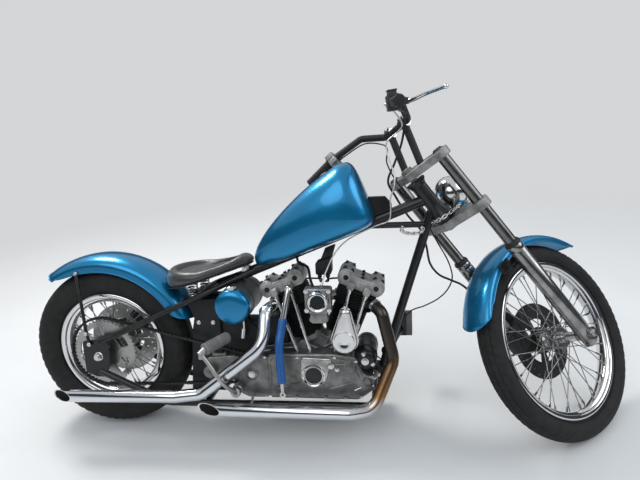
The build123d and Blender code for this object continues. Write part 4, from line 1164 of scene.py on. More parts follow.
def fenders():
    """The rear and front fender."""
    fender_piece("rear_fender_shell", 376.0, 318.0, 80.0, 19, 126, 12, 6, ((1.0, 0.3, 0.0),), "frame",
                 "rear_fender", REAR_WHEEL)
    fender_piece("front_fender_shell", 384.0, 350.0, 62.0, 62, 172, 7, 13,
                 ((0.0, 0.06, 0.3), (1.0, 0.06, 0.3)), "steering", "front_fender", FRONT_WHEEL)


@drawn("front_fender_brackets", "satin", "blue", (), FORK, body="steering")
def front_fender_brackets(bm):
    """The brackets between the front fender and its fork legs."""
    for side in (-1, 1):
        block(bm, (60, 5, 32), (14, side * 65, 347), 1.2, 1)
        block(bm, (30, 46, 5), (18, side * 86, 347), 1.2, 1)
        block(bm, (34, 5, 32), (22, side * 96, 347), 1.2, 1)
        for x in (0, 28):
            bolt(bm, (x, side * 62, 347), (0, -side, 0), 5, 4)


def tank_shell():
    """The teardrop tank, from its width, crest and floor along its length."""
    halves = [(4.0, 7.0), (10.0, 17.0), (60.0, 46.0), (140.0, 78.0), (220.0, 100.0), (300.0, 115.0),
              (370.0, 122.0), (415.0, 120.0), (447.0, 108.0), (470.0, 86.0), (481.0, 58.0), (485.0, 34.0)]
    tops = [(4.0, 30.0), (10.0, 48.0), (60.0, 96.0), (140.0, 143.0), (220.0, 178.0), (300.0, 206.0),
            (370.0, 224.0), (430.0, 235.0), (462.0, 230.0), (476.0, 214.0), (483.0, 184.0), (485.0, 150.0)]
    floors = [(4.0, 16.0), (10.0, 13.0), (60.0, 2.0), (140.0, -6.0), (430.0, -8.0), (462.0, -4.0),
              (476.0, 10.0), (483.0, 34.0), (485.0, 64.0)]
    shell = bmesh.new()
    marks = [4, 6.5, 10] + [10 + 410 * (k / 30) for k in range(1, 31)]
    marks += [430, 440, 449, 457, 464, 469.5, 474, 477.5, 480.5, 483, 484.5, 485]
    skin(shell, [tank_ring(u, eased(halves, u), eased(tops, u), eased(floors, u)) for u in marks])
    piece("fuel_tank_shell", shell, "blue", "blue", ["fuel_tank"], TANK, sharp=60, merge=True)


@drawn("fuel_tank_bracket", "black", "black", (), TANK)
def tank_bracket(bm):
    """The tank's forward bracket on the backbone."""
    for side in (-1, 1):
        slab(bm, rounded([(460, 16), (546, 16), (552, 34), (540, 66), (460, 96)], 10), side * 16 - 2.5,
             side * 16 + 2.5)
        bolt(bm, (530, side * 18.5, 42), (0, side, 0), 7, 5)
    block(bm, (76, 32, 4), Matrix.Translation((500, 0, 79)) @ Matrix.Rotation(0.36, 4, "Y"), 1, 1)


@drawn("fuel_cap", "chrome", "chrome", (), TANK)
def tank_cap(bm):
    """The knurled filler cap on the tank's left."""
    lean = Matrix.Translation((372, 52, 203)) @ Matrix.Rotation(radians(-27), 4, "X")
    before = stamp(bm)
    turned(bm, [(-6, 0.01), (-6, 33), (2, 33), (4, 31), (4, 29), (13, 28), (16, 25), (18, 12),
                (18.5, 0.01)], 48, (0, 0, 1))
    for i in range(24):
        turn = 2 * pi * i / 24
        at = Vector((28.2 * cos(turn), 28.2 * sin(turn), 4.5))
        bar(bm, at, at + Vector((0, 0, 8.5)), 1.6, 6)
    moved(bm, before, lean)


@drawn("fuel_tap", "plate", "chrome", (), TANK)
def tank_tap(bm):
    """The fuel tap under the tank."""
    bar(bm, (150, 24, 14), (150, 24, -8), 8, 16)
    bar(bm, (150, 24, -8), (150, 24, -22), 5, 12)
    bar(bm, (150, 12, -4), (150, 40, -4), 3.5, 10)


OIL_TANK, OIL_TANK_RADIUS = (540, 0, 514), 66.0


def oil_tank():
    """The round oil tank: a blue face on a black barrel with two bands."""
    can = bmesh.new()
    r = OIL_TANK_RADIUS
    near = [(-140.0, 0.01), (-139.2, 30), (-137.5, 46), (-134.5, 55), (-130, 61.5), (-124, 65), (-117, r),
            (-98, r)]
    turned(can, near + [(-98, 0.01)], 72, centre=OIL_TANK)
    piece("oil_tank_face", can, "blue", "blue", ["oil_tank"], merge=True)
    barrel = bmesh.new()
    turned(barrel, [(-98.2, 0.01), (-98.2, 65.5), (-97, r + 0.4), (-93, r + 0.4), (-92, 65.4), (60, 65.4),
                    (76, 65.4), (90, 62), (97, 54), (100, 40), (100, 0.01)], 72, centre=OIL_TANK)
    for y in (-60.0, 40.0):
        turned(barrel, [(y, 65), (y, 66.8), (y + 16, 66.8), (y + 16, 65)], 72, centre=OIL_TANK)
    piece("oil_tank_barrel", barrel, "dusty_black", "dark", merge=True)


@drawn("oil_filler_cap", "chrome", "chrome")
def oil_filler(bm):
    """The knurled oil filler cap and the breather below the tank."""
    turned(bm, [(-10, 0.01), (-10, 13), (2, 13), (3, 16.4), (10, 16.4), (12, 14.5), (13, 8), (13.2, 0.01)],
           32, (0, 0, 1), (540, -112, 579))
    for i in range(16):
        turn = 2 * pi * i / 16
        at = Vector((540 + 16.2 * cos(turn), -112 + 16.2 * sin(turn), 583))
        bar(bm, at, at + Vector((0, 0, 5)), 1.3, 6)
    bar(bm, (560, -60, 404), (560, -60, 450), 4.5, 12)
    bar(bm, (553, -60, 374), (559, -60, 412), 9, 20)


@drawn("oil_lines", "rubber", "rubber")
def oil_lines(bm):
    """The oil tank's drain bolts and hoses."""
    bolt(bm, (540, -70, 448.5), (0, 0, -1), 8, 7)
    bolt(bm, (540, 50, 448.5), (0, 0, -1), 8, 7)
    for y, end in ((-40, (612, -52, 400)), (-10, (622, -22, 392))):
        pipe(bm, smooth_path([(560, y, 452), (572, y, 430), (594, (y + end[1]) / 2, 414), end]), 6, 12)


class CHOPPER_OT_bodywork(bpy.types.Operator):
    """Builds the fenders, the teardrop tank and the round oil tank"""

    bl_idname = "chopper.bodywork"
    bl_label = "Bodywork"

    def execute(self, context):
        fenders()
        front_fender_brackets()
        tank_shell()
        tank_bracket()
        tank_cap()
        tank_tap()
        oil_tank()
        oil_filler()
        oil_lines()
        return {"FINISHED"}


# Seat
def seat_floor(x):
    """Height of the seat's underside."""
    return 592.0 + (x - 374.0) * 60.0 / 232.0


SADDLE_TOPS = [(255.0, 632.0), (275.0, 642.0), (330.0, 641.0), (400.0, 641.0), (460.0, 651.0),
               (520.0, 668.0), (565.0, 684.0), (602.0, 682.0)]
SADDLE_LOW_X, SADDLE_HIGH_X = 257.0, 610.0


def saddle_plan():
    """Evenly spaced places round the saddle's outline, seen from above."""
    outline = [Vector(p) for p in hull_of(((385, 0, 125), (556, 0, 44)), 96)]
    lengths = [0.0]
    for a, b in zip(outline, outline[1:] + outline[:1]):
        lengths.append(lengths[-1] + (b - a).length)
    plan = []
    count, k = 120, 0
    for i in range(count):
        run = lengths[-1] * i / count
        while lengths[k + 1] < run:
            k += 1
        share = (run - lengths[k]) / (lengths[k + 1] - lengths[k])
        plan.append(outline[k].lerp(outline[(k + 1) % len(outline)], share))
    return plan


def inset(plan, distance):
    """The plan drawn in by a distance, towards the saddle's middle line."""
    ring = []
    for p in plan:
        middle = Vector((min(max(p.x, 392.0), 540.0), 0.0))
        way = p - middle
        ring.append(middle + way * max(0.02, 1 - distance / way.length))
    return ring


def saddle_leather(plan):
    """The padded cover with its rolled edge and sunk, creased panel."""
    # distance in from the edge, share of the height from the floor to the top
    rolls = [(30.0, 0.0), (14.0, 0.02), (5.0, 0.12), (1.0, 0.3), (0.0, 0.45), (1.5, 0.62), (6.0, 0.8),
             (12.0, 0.92), (19.0, 0.99), (25.0, 1.0), (31.0, 0.96), (36.0, 0.88), (40.0, 0.78),
             (43.0, 0.72), (47.0, 0.74), (56.0, 0.79), (68.0, 0.8)]
    crest, panel = 25.0, 47.0
    bm = bmesh.new()
    rings = []
    for distance, share in rolls:
        ring = []
        for p in inset(plan, distance):
            x = min(max(p.x, SADDLE_LOW_X), SADDLE_HIGH_X)
            low, high = seat_floor(x) + 2.0, eased(SADDLE_TOPS, min(x, 601.0))
            # the sunk panel runs out towards the nose, which is full
            fill = min(1.0, max(0.0, (x - 470.0) / 55.0))
            deep = share
            if distance > crest:
                deep = share + (1.0 - share) * fill * fill * (3 - 2 * fill)
            height = low + (high - low) * deep
            if distance > panel:
                height += 1.3 * sin(p.x / 9.0 + 3.0 * sin(p.y / 34.0)) * (1 - fill)
                height += 0.8 * sin(p.y / 6.5) * (1 - fill)
            ring.append(Vector((p.x, p.y, height)))
        rings.append(ring)
    skin(bm, rings)
    for face in [f for f in bm.faces if len(f.verts) > 8]:
        bmesh.ops.inset_region(bm, faces=[face], thickness=8.0, depth=0.0)
    cover = piece("saddle_leather", bm, "leather", "leather", ["seat"], sharp=180,
                  modifiers=[("SUBSURF", {"levels": 1, "render_levels": 1})], merge=True)


def saddle_welt(plan):
    """The welt round the sunk panel, open towards the nose."""
    welt = bmesh.new()
    path = []
    for p in inset(plan, 44.0):
        if p.x > 492:
            continue
        low, high = seat_floor(p.x) + 2.0, eased(SADDLE_TOPS, p.x)
        path.append((p.x, p.y, low + (high - low) * 0.73))
    start = max(range(len(path)), key=lambda i: (Vector(path[i]) - Vector(path[i - 1])).length)
    path = path[start:] + path[:start]
    pipe(welt, path, 2.2, 8)
    piece("saddle_welt", welt, "leather", "leather", sharp=80)


def saddle_pan(plan):
    """The pressed pan under the cover."""
    pan = bmesh.new()
    rings = []
    for distance, up in ((3.0, 6.0), (3.0, 1.5), (16.0, 0.0), (40.0, 0.0)):
        rings.append([
            Vector((p.x, p.y, seat_floor(min(max(p.x, SADDLE_LOW_X), SADDLE_HIGH_X)) + up))
            for p in inset(plan, distance)
        ])
    skin(pan, rings)
    piece("saddle_pan", pan, "black", "black", merge=True)


@drawn("saddle_springs", "plate", "chrome", ["seat_mounts"])
def saddle_springs(bm):
    """The two coil springs with their cups, and the hinge at the nose."""
    for y in (-58, 58):
        low, high = 536.0, 583.0
        turns, per = 4.5, 20
        path = []
        for i in range(int(turns * per) + 1):
            turn = 2 * pi * i / per
            path.append((373 + 17.4 * cos(turn), y + 17.4 * sin(turn), low
                         + (high - low) * i / turns / per))
        pipe(bm, path, 2.6, 8)
        for z in (531.5, 583.5):
            bar(bm, (373, y, z), (373, y, z + 3.5), 19.5, 28)
        bolt(bm, (373, y, 535), (0, 0, 1), 6, 8)
    block(bm, (34, 30, 5), (566, 0, 636), 1, 1)
    for y in (-12.5, 12.5):
        slab(bm, rounded([(550, 612), (582, 624), (576, 640), (556, 636)], 5), y - 2, y + 2)
    bar(bm, (567, -18, 628), (567, 18, 628), 5, 16)
    bolt(bm, (567, -18, 628), (0, -1, 0), 6.5, 5)
    bolt(bm, (567, 18, 628), (0, 1, 0), 6.5, 5)


class CHOPPER_OT_seat(bpy.types.Operator):
    """Builds the rolled leather saddle, its pan, springs and hinge"""

    bl_idname = "chopper.seat"
    bl_label = "Seat"

    def execute(self, context):
        plan = saddle_plan()
        saddle_leather(plan)
        saddle_welt(plan)
        saddle_pan(plan)
        saddle_springs()
        return {"FINISHED"}


# Engine
CRANK = Vector((857.0, 0.0, 232.0))
CYLINDER_TILT = radians(22.5)
ROUND_COVER, GENERATOR, INTAKE = (827, 0, 262), (1011, 0, 307), (859, 0, 546)
INTAKE_CORNERS = ((818, 580), (896, 580), (818, 512), (896, 512))


def bore(way):
    """The directions along and across one cylinder: way is -1 for the rear one and 1 for the front one."""
    tilt = way * CYLINDER_TILT
    return Vector((sin(tilt), 0, cos(tilt))), Vector((cos(tilt), 0, -sin(tilt)))


def cylinder_place(way):
    """The frame of one cylinder, with Z along its bore."""
    up, side = bore(way)
    return BIKE @ frame_of(CRANK, side, Vector((0, 1, 0)), up)


def arc(centre, radius, start_deg, stop_deg, steps=10):
    """Points along an arc, in degrees from +X towards +Z."""
    turns = [radians(start_deg + (stop_deg - start_deg) * i / steps) for i in range(steps + 1)]
    return [(centre[0] + radius * cos(t), centre[1] + radius * sin(t)) for t in turns]


@drawn("crankcase_castings", "alloy", "engine", ["engine_case"])
def crankcase(bm):
    """The crankcase halves, cylinder bases and ribs."""
    outline = rounded([(530, 190), (560, 165), (985, 165), (1030, 205), (1006, 255), (950, 300),
                       (935, 372), (857, 330), (779, 372), (745, 345), (640, 330), (545, 300)], 12)
    slab(bm, outline, -70, 75, 4, 4)
    for y in (-34.0, 38.0):
        slab(bm, rounded([(534, 192), (562, 163), (986, 163), (1034, 205), (1008, 258), (952, 302),
                          (936, 374), (857, 333), (778, 374), (744, 347), (638, 332), (543, 302)], 12), y,
             y + 7, 2, 2)
    for way in (-1, 1):
        up, side = bore(way)
        bar(bm, CRANK + up * 140, CRANK + up * 158, 58, 48)
        for i in range(4):
            turn = radians(45 + 90 * i)
            at = CRANK + up * 158 + side * 53 * cos(turn) + Vector((0, 53 * sin(turn), 0))
            bolt(bm, at, up, 6, 6)
    # cooling ribs under the case and a drain plug
    for x in range(600, 960, 30):
        block(bm, (6, 120, 12), (x, 0, 162), 1.5, 1)
    bolt(bm, (760, 0, 158), (0, 0, -1), 10, 6)


def cam_cover_plates():
    """The plates of the cam and sprocket covers, still to be given their ribs."""
    cover = bmesh.new()
    cam = rounded([(652, 168), (990, 168), (1052, 214), (1056, 262), (1010, 258), (975, 330), (900, 342),
                   (652, 338)], 26, 6)
    slab(cover, cam, -70, -126, 9)
    inner = rounded([(668, 182), (982, 182), (1034, 220), (1036, 248), (996, 250), (962, 318), (896, 328),
                     (668, 324)], 20, 6)
    slab(cover, inner, -120, -130, 5)
    sprocket_cover = rounded([(545, 185), (580, 168), (664, 168), (664, 336), (590, 330), (545, 290)], 26, 6)
    slab(cover, sprocket_cover, -95, -129, 9)
    return cover


def cam_cover_brow():
    """The raised brow round the round cover, with the cover's bright rim."""
    brow = bmesh.new()
    slab(brow, hull_of(((827, 262, 50), (794, 318, 13), (886, 318, 9))), -124, -135, 6, segments=5)
    piece("cam_cover_brow", brow, "polished", "engine", sharp=40)
    rim = bmesh.new()
    turned(rim, [(-133, 34.5), (-137.5, 36), (-139, 38.5), (-138, 42), (-134, 44), (-130, 44),
                 (-130, 34.5)], 72, centre=ROUND_COVER)
    piece("round_cover_rim", rim, "chrome", "engine")


def cam_cover(cover):
    """The cam and sprocket covers, with cast ribs and round bosses on their plates."""
    # cast ribs along the cover's flank
    for start, stop in (((690, 205), (772, 232)), ((884, 210), (968, 236)), ((890, 300), (944, 306))):
        bar(cover, (start[0], -129, start[1]), (stop[0], -130, stop[1]), 4.5, 12)
    # sump rib along the bottom edge
    bar(cover, (664, -112, 170), (984, -112, 170), 7, 16)
    for x, z, radius in ((598, 262, 26), (1018, 238, 17), (960, 288, 20)):
        turned(cover, [(-134, 0.01), (-134, radius * 0.6), (-132, radius * 0.86), (-128, radius),
                       (-122, radius), (-122, 0.01)], 36, centre=(x, 0, z))
    piece("cam_cover_casting", cover, "cover", "engine", ["cam_cover"], sharp=32)


@drawn("cam_cover_screws", "plate", "steel")
def cam_cover_screws(bm):
    """The screws round the covers and the bolts beside the round cover."""
    for x, z in ((556, 206), (556, 286), (600, 176), (600, 322), (650, 330), (650, 178), (700, 176),
                 (760, 175), (866, 175), (940, 176), (996, 184), (1040, 226), (1046, 256), (980, 318),
                 (905, 332), (770, 330), (700, 330)):
        turned(bm, [(-134.5, 0.01), (-134.5, 2.4), (-133.2, 5.4), (-128, 5.8), (-128, 0.01)], 16,
               centre=(x, 0, z))
    bolt(bm, (598, -134, 262), (0, -1, 0), 9, 5)
    bolt(bm, (890, -134, 300), (0, -1, 0), 9, 9)
    bolt(bm, (912, -132, 286), (0, -1, 0), 6, 8)


@drawn("round_cover", "black", "dark")
def round_cover(bm):
    """The plain round cover with its two pin heads."""
    turned(bm, [(-137.6, 0.01), (-137.4, 10), (-136.6, 20), (-135.4, 29), (-134, 35), (-131, 35),
                (-131, 0.01)], 64, centre=ROUND_COVER)
    for x in (-22, 22):
        bar(bm, (ROUND_COVER[0] + x, -138, 262), (ROUND_COVER[0] + x, -134, 262), 3.4, 12)


def primary_outline(crank_radius, clutch_radius):
    """The primary's outline, round the crankshaft and the clutch."""
    return hull_of(((877, 256, crank_radius), (620, 262, clutch_radius)), 64)


@drawn("primary_casting", "polished", "engine", ["primary_cover"], sharp=32)
def primary_cover(bm):
    """The primary cover with its raised panel, bosses and screws."""
    slab(bm, primary_outline(96, 84), 75, 118, 16)
    slab(bm, primary_outline(82, 70), 116, 122, 5)
    for x, z, radius in ((877, 256, 40), (620, 262, 34)):
        turned(bm, [(114, 0.01), (114, radius), (119, radius), (121.4, radius - 4), (122, 0.01)], 48,
               centre=(x, 0, z))
    edge = primary_outline(89, 77)
    for i in range(14):
        x, z = Vector(edge[int(i * len(edge) / 14)])
        turned(bm, [(112, 0.01), (112, 6.5), (120.6, 6.2), (121.6, 4.0), (121.8, 0.01)], 16,
               centre=(x, 0, z))


class CHOPPER_OT_engine_cases(bpy.types.Operator):
    """Builds the crankcase, the cam and sprocket covers, the round cover and the primary"""

    bl_idname = "chopper.engine_cases"
    bl_label = "Engine Cases"

    def execute(self, context):
        crankcase()
        cover = cam_cover_plates()
        cam_cover_brow()
        cam_cover(cover)
        cam_cover_screws()
        round_cover()
        primary_cover()
        return {"FINISHED"}


def barrel_fins(name, place, first):
    """One finned barrel; the first stands in for both packed ones."""
    barrel = bmesh.new()
    profile = [(158.0, 0.01), (158.0, 48.0)]
    for i in range(14):
        z = 166.0 + 8.2 * i
        wide = min(64.0, z * 0.3827 + 2.0)
        profile += [(z, 49.0), (z + 0.3, wide - 0.8), (z + 1.1, wide), (z + 1.9, wide - 0.8),
                    (z + 2.4, 49.0)]
    profile += [(282.0, 49.0), (282.0, 0.01)]
    turned(barrel, profile, 56, (0, 0, 1))
    piece(f"{name}_barrel_fins", barrel, "iron", "iron", ["cylinder_barrels"] if first else [], place,
          sharp=42, merge=True)


def head_fins(name, place, first):
    """One finned head with its four bolts."""
    head = bmesh.new()
    rings = [rounded_box_ring(112, 104, 20, 282.2)]
    for i in range(7):
        z = 285.0 + 9.0 * i
        for lift, grow in ((0.0, 0.0), (0.3, 0.94), (1.2, 1.0), (2.2, 0.94), (2.8, 0.0)):
            rings.append(rounded_box_ring(114 + 32 * grow, 106 + 32 * grow, 20 + 14 * grow, z + lift))
    rings.append(rounded_box_ring(114, 106, 20, 350))
    skin(head, rings)
    for i in range(4):
        turn = radians(45 + 90 * i)
        bolt(head, (46 * cos(turn), 44 * sin(turn), 350), (0, 0, 1), 6, 4)
    piece(f"{name}_head_fins", head, "iron", "iron", ["cylinder_heads"] if first else [], place, sharp=42,
          merge=True)


def spark_plug(name, place, way):
    """One spark plug on the left of its head."""
    plug = bmesh.new()
    base = Vector((-way * 12, 60, 318))
    tip = Vector((-way * 12, 96, 326))
    bar(plug, base, base.lerp(tip, 0.35), 10, 6)
    bar(plug, base.lerp(tip, 0.35), base.lerp(tip, 0.75), 6.5, 16)
    bar(plug, base.lerp(tip, 0.75), tip, 4, 12)
    piece(f"{name}_spark_plug", plug, "plate", "chrome", (), place)


def rocker_box(name, place, first):
    """One rocker box with round ends and pushrod seats."""
    box = bmesh.new()
    outline = [(-73, 350), (73, 350)]
    outline += arc((57, 380), 31, -40, 125, 12) + [(30, 394), (-30, 394)] + arc((-57, 380), 31, 55, 220, 12)
    slab(box, outline, -60, 60, 3, 3)
    for y in (-60.0, 60.0):
        out = copysign(4, y)
        rim = [(-62, 358), (62, 358)] + arc((57, 380), 24, -40, 120, 12) + [(32, 386), (-32, 386)]
        slab(box, rim + arc((-57, 380), 24, 60, 220, 12), y - out, y + out, 1.5, 1.5)
    for x in (-30, 30):
        block(box, (26, 30, 26), (x, -75, 364), 4, 2)
        bar(box, (x, -80, 350), (x, -80, 354), 12, 24)
    piece(f"{name}_rocker_box", box, "rocker", "engine", ["rocker_boxes"] if first else [], place, sharp=34)


def rocker_bolts(name, place):
    """The bolts of one rocker box."""
    bolts = bmesh.new()
    for x in (-57, 57):
        for y in (-1, 1):
            bar(bolts, (x, y * 63, 380), (x, y * 65, 380), 9.5, 24)
            bolt(bolts, (x, y * 64, 380), (0, y, 0), 6, 4)
            bolt(bolts, (x - 14, y * 40, 405), (0, 0, 1), 6.5, 9)
            bolt(bolts, (x + 14, y * 40, 405), (0, 0, 1), 6.5, 9)
    for y in (-44, 0, 44):
        bolt(bolts, (0, y, 393), (0, 0, 1), 6.5, 8)
    piece(f"{name}_rocker_bolts", bolts, "satin", "steel", (), place)


@drawn("pushrod_tube_covers", "chrome", "chrome", ["pushrod_tubes"])
def pushrod_tubes(bm):
    """The four pushrod tubes with their collars and tappet blocks."""
    for way in (-1, 1):
        up, side = bore(way)
        for x, foot_x in ((-30, way * 58 - 22), (30, way * 58 + 22)):
            foot = Vector((CRANK.x + foot_x, -96, 305))
            top = CRANK + Vector((0, -80, 0)) + side * x + up * 354
            bar(bm, foot, top, 6.6, 20)
            for share, radius, length in ((0.0, 10.5, 26), (0.17, 8.6, 10), (0.46, 8.4, 14),
                                          (0.93, 9.4, 12)):
                at = foot.lerp(top, share)
                run = (top - foot).normalized()
                bar(bm, at, at + run * length, radius, 24)
            # tappet block
            block(bm, (30, 30, 18), (foot.x, -98, 306), 4, 2)


class CHOPPER_OT_cylinders(bpy.types.Operator):
    """Builds the finned barrels and heads, rocker boxes and pushrod tubes"""

    bl_idname = "chopper.cylinders"
    bl_label = "Cylinders"

    def execute(self, context):
        for way, name in ((-1, "rear"), (1, "front")):
            place, first = cylinder_place(way), way < 0
            barrel_fins(name, place, first)
            head_fins(name, place, first)
            spark_plug(name, place, way)
            rocker_box(name, place, first)
            rocker_bolts(name, place)
        pushrod_tubes()
        return {"FINISHED"}


@drawn("carburettor_body", "alloy", "engine", ["carburettor"], sharp=34)
def carburettor_body(bm):
    """The carburettor, its float bowl and the manifold between the heads."""
    slab(bm, rounded([(811, 520), (811, 588), (903, 588), (903, 520), (888, 496), (826, 496)], 14, 5),
         -100, -148, 5, 3)
    slab(bm, rounded([(822, 472), (830, 500), (884, 500), (892, 472), (880, 462), (834, 462)], 9, 4), -106,
         -144, 4, 3)
    for x, z in INTAKE_CORNERS:
        bar(bm, (x, -108, z), (x, -151, z), 9, 20)
    bar(bm, (857, -4, 522), (857, -102, 531), 21, 28)
    bar(bm, (790, 0, 522), (924, 0, 522), 19.5, 28)
    for x in (808, 906):
        bar(bm, (x - 4, 0, 522), (x + 4, 0, 522), 26, 32)
    bar(bm, (857, -94, 530), (857, -101, 531), 30, 32)
    bar(bm, (903, -124, 560), (918, -124, 566), 7, 16)
    bar(bm, (868, -118, 586), (868, -118, 594), 6, 16)


@drawn("carburettor_ring", "chrome", "engine")
def carburettor_ring(bm):
    """The chromed intake ring and its bolts."""
    turned(bm, [(-150, 24.5), (-150, 38), (-154, 39.5), (-166, 37), (-171, 33.5), (-171.6, 30),
                (-169, 25.5), (-160, 24)], 64, centre=INTAKE)
    for x, z in INTAKE_CORNERS:
        bolt(bm, (x, -151, z), (0, -1, 0), 5.5, 4)


@drawn("carburettor_throat", "satin", "dark")
def carburettor_throat(bm):
    """The throat behind bars, closed by a black disc that is painted shade of the deep bore."""
    # painted shade: the black disc stands in for the shade deep inside the bore
    turned(bm, [(-162, 0.01), (-163, 24.4), (-150, 24.4), (-150, 0.01)], 48, centre=INTAKE)
    for i in range(5):
        bar(bm, (859 - 20, -163.5, 546 - 16 + 8 * i), (859 + 20, -163.5, 546 - 16 + 8 * i), 1.2, 8)


@drawn("pear_cover_shell", "chrome", "chrome", ["pear_cover"], sharp=50)
def pear_cover(bm):
    """The pear-shaped cover."""
    outline = hull_of(((944, 400, 46), (950, 500, 18)), 64)
    slab(bm, outline, -138, -160, 14, segments=5)
    slab(bm, hull_of(((944, 400, 49), (950, 500, 20)), 64), -132, -140, 2, 2)


@drawn("pear_cover_horn", "chrome", "chrome")
def pear_cover_boss(bm):
    """The round boss, stay, bolt and tip of the pear-shaped cover."""
    turned(bm, [(-158, 0.01), (-161, 20), (-164, 30), (-163.5, 34), (-159, 36), (-156, 36), (-156, 0.01)],
           48, centre=(944, 0, 404))
    bar(bm, (944, -140, 400), (944, -52, 400), 8, 20)
    bolt(bm, (950, -160, 500), (0, -1, 0), 7, 5)
    bar(bm, (950, -148, 516), (950, -148, 528), 5, 12)


@drawn("pear_cover_bracket", "polished", "engine")
def pear_cover_bracket(bm):
    """The strap that holds the pear-shaped cover."""
    slab(bm, rounded([(972, 372), (1000, 452), (990, 462), (962, 400)], 8), -128, -134, 1.5, 1.5)
    bolt(bm, (985, -134, 444), (0, -1, 0), 8, 5)


@drawn("generator_body", "black", "steel", ["generator"], sharp=34)
def generator(bm):
    """The generator with its two bands."""
    turned(bm, [(-110, 0.01), (-110, 26), (-107, 34), (-101, 40), (-95, 41.5), (68, 41.5), (72, 38),
                (75, 30), (75, 0.01)], 56, centre=GENERATOR)
    for y in (-60.0, 40.0):
        turned(bm, [(y, 41), (y, 43), (y + 9, 43), (y + 9, 41)], 56, centre=GENERATOR)


@drawn("generator_trim", "plate", "chrome")
def generator_trim(bm):
    """The generator's end bolts and lead."""
    for i in range(3):
        turn = radians(100 + 120 * i)
        bolt(bm, (1011 + 27 * cos(turn), -108, 307 + 27 * sin(turn)), (0, -1, 0), 6, 6)
    bolt(bm, (1011, -110, 307), (0, -1, 0), 10, 8)
    pipe(bm, smooth_path([(1040, -100, 262), (1030, -118, 240), (1004, -126, 222), (972, -130, 206)]), 3.0,
         10)


@drawn("ignition_coil_case", "satin", "plastic", ["ignition_coil"])
def ignition_coil(bm):
    """The coil with its two lead towers."""
    slab(bm, rounded([(836, 606), (894, 606), (894, 672), (836, 650)], 9, 4), -32, 32, 5, 5)
    for x in (850, 880):
        bar(bm, (x, -20, 596), (x, -20, 610), 8, 20)
        bar(bm, (x, -20, 592), (x, -20, 598), 5.5, 16)


@drawn("coil_bracket", "black", "black")
def coil_bracket(bm):
    """The bracket between the coil and the backbone."""
    slab(bm, rounded([(846, 640), (888, 640), (912, 716), (872, 701)], 5), -13, 13, 2, 2)
    for z, x in ((652, 852), (660, 886)):
        bolt(bm, (x, -13, z), (0, -1, 0), 6, 5)


@drawn("fuel_line", "rubber", "rubber")
def fuel_line(bm):
    """The hose from the tap to the carburettor."""
    spout = BIKE.inverted() @ TANK @ Vector((150, 24, -20))
    path = [spout, spout + Vector((6, 0, -22)), Vector((802, 4, 628)), Vector((822, -70, 604)),
            Vector((838, -118, 590))]
    pipe(bm, smooth_path(path, 8), 5.0, 14)


@drawn("spark_plug_leads", "rubber", "plastic")
def spark_plug_leads(bm):
    """The two leads from the coil to the plugs, with their boots."""
    for way, start in ((-1, (850, -20, 594)), (1, (880, -20, 594))):
        up, side = bore(way)
        end = CRANK + up * 325 + side * (-way * 12) + Vector((0, 92, 0))
        path = [start, Vector(start) + Vector((0, 4, -14)), Vector((857 + way * 8, 30, 566)),
                Vector((857 + way * 26, 92, 560)), end + Vector((0, 16, 16)), end]
        pipe(bm, smooth_path(path, 8), 3.6, 12)
        run = (Vector(path[-2]) - end).normalized()
        bar(bm, end - run * 12, end + run * 16, 7.5, 16, 5)


class CHOPPER_OT_intake(bpy.types.Operator):
    """Builds the carburettor, pear cover, generator and coil"""

    bl_idname = "chopper.intake"
    bl_label = "Intake and Ignition"

    def execute(self, context):
        carburettor_body()
        carburettor_ring()
        carburettor_throat()
        pear_cover()
        pear_cover_boss()
        pear_cover_bracket()
        generator()
        generator_trim()
        ignition_coil()
        coil_bracket()
        fuel_line()
        spark_plug_leads()
        return {"FINISHED"}


# Exhaust and foot controls
PIPE_SLASH = (-0.4, -0.91, 0.04)


def exhaust_paths():
    """The middle lines of the rear and the front pipe."""
    rear = arc_points([(696, -38, 512), (662, -124, 498), (662, -182, 392), (430, -200, 218),
                       (330, -202, 205), (-122, -202, 196.3)], (45, 95, 62, 90), 12)
    front = arc_points([(1010, -40, 504), (1050, -66, 500), (1074, -96, 484), (1112, -112, 318),
                        (1040, -176, 160), (960, -202, 158), (449, -202, 157)], (16, 28, 70, 70, 70), 12)
    return rear, front


def drag_pipes(paths):
    """The two pipes with slash-cut ends."""
    bm = bmesh.new()
    for path in paths:
        pipe(bm, path, 22.2, 40, True, bore=20.2, depth=180, slash=PIPE_SLASH)
    piece("drag_pipes", bm, "exhaust", "chrome", ["exhaust_pipes"], sharp=50)


def pipe_soot(paths):
    """A black lining inside each open end: soot, and painted shade of the deep bore."""
    soot = bmesh.new()
    for path in paths:
        tip = path[-1]
        way = (path[-1] - path[-2]).normalized()
        # soot and painted shade: the lining darkens the bore where shade falls
        pipe(soot, [tip - way * 176, tip - way * 120, tip - way * 3], 20.1, 40, True, bore=19.3, depth=165,
             slash=PIPE_SLASH)
    piece("pipe_soot", soot, "soot", "chrome", sharp=50)


def pipe_clamps(paths):
    """A clamp on each pipe, and the stays behind them."""
    rings = bmesh.new()
    for path, at in zip(paths, (8, 5)):
        point, way = path[at], (path[at + 1] - path[at - 1]).normalized()
        bar(rings, point - way * 5, point + way * 5, 25.5, 40)
    for x, z, top in ((150, 201.5, 165), (600, 157.5, 190)):
        bar(rings, (x, -190, z), (x, -120, top), 5, 12)
    piece("pipe_clamps", rings, "plate", "chrome")


class CHOPPER_OT_exhaust(bpy.types.Operator):
    """Builds the two drag pipes with slash-cut ends"""

    bl_idname = "chopper.exhaust"
    bl_label = "Exhaust"

    def execute(self, context):
        paths = exhaust_paths()
        drag_pipes(paths)
        pipe_soot(paths)
        pipe_clamps(paths)
        return {"FINISHED"}


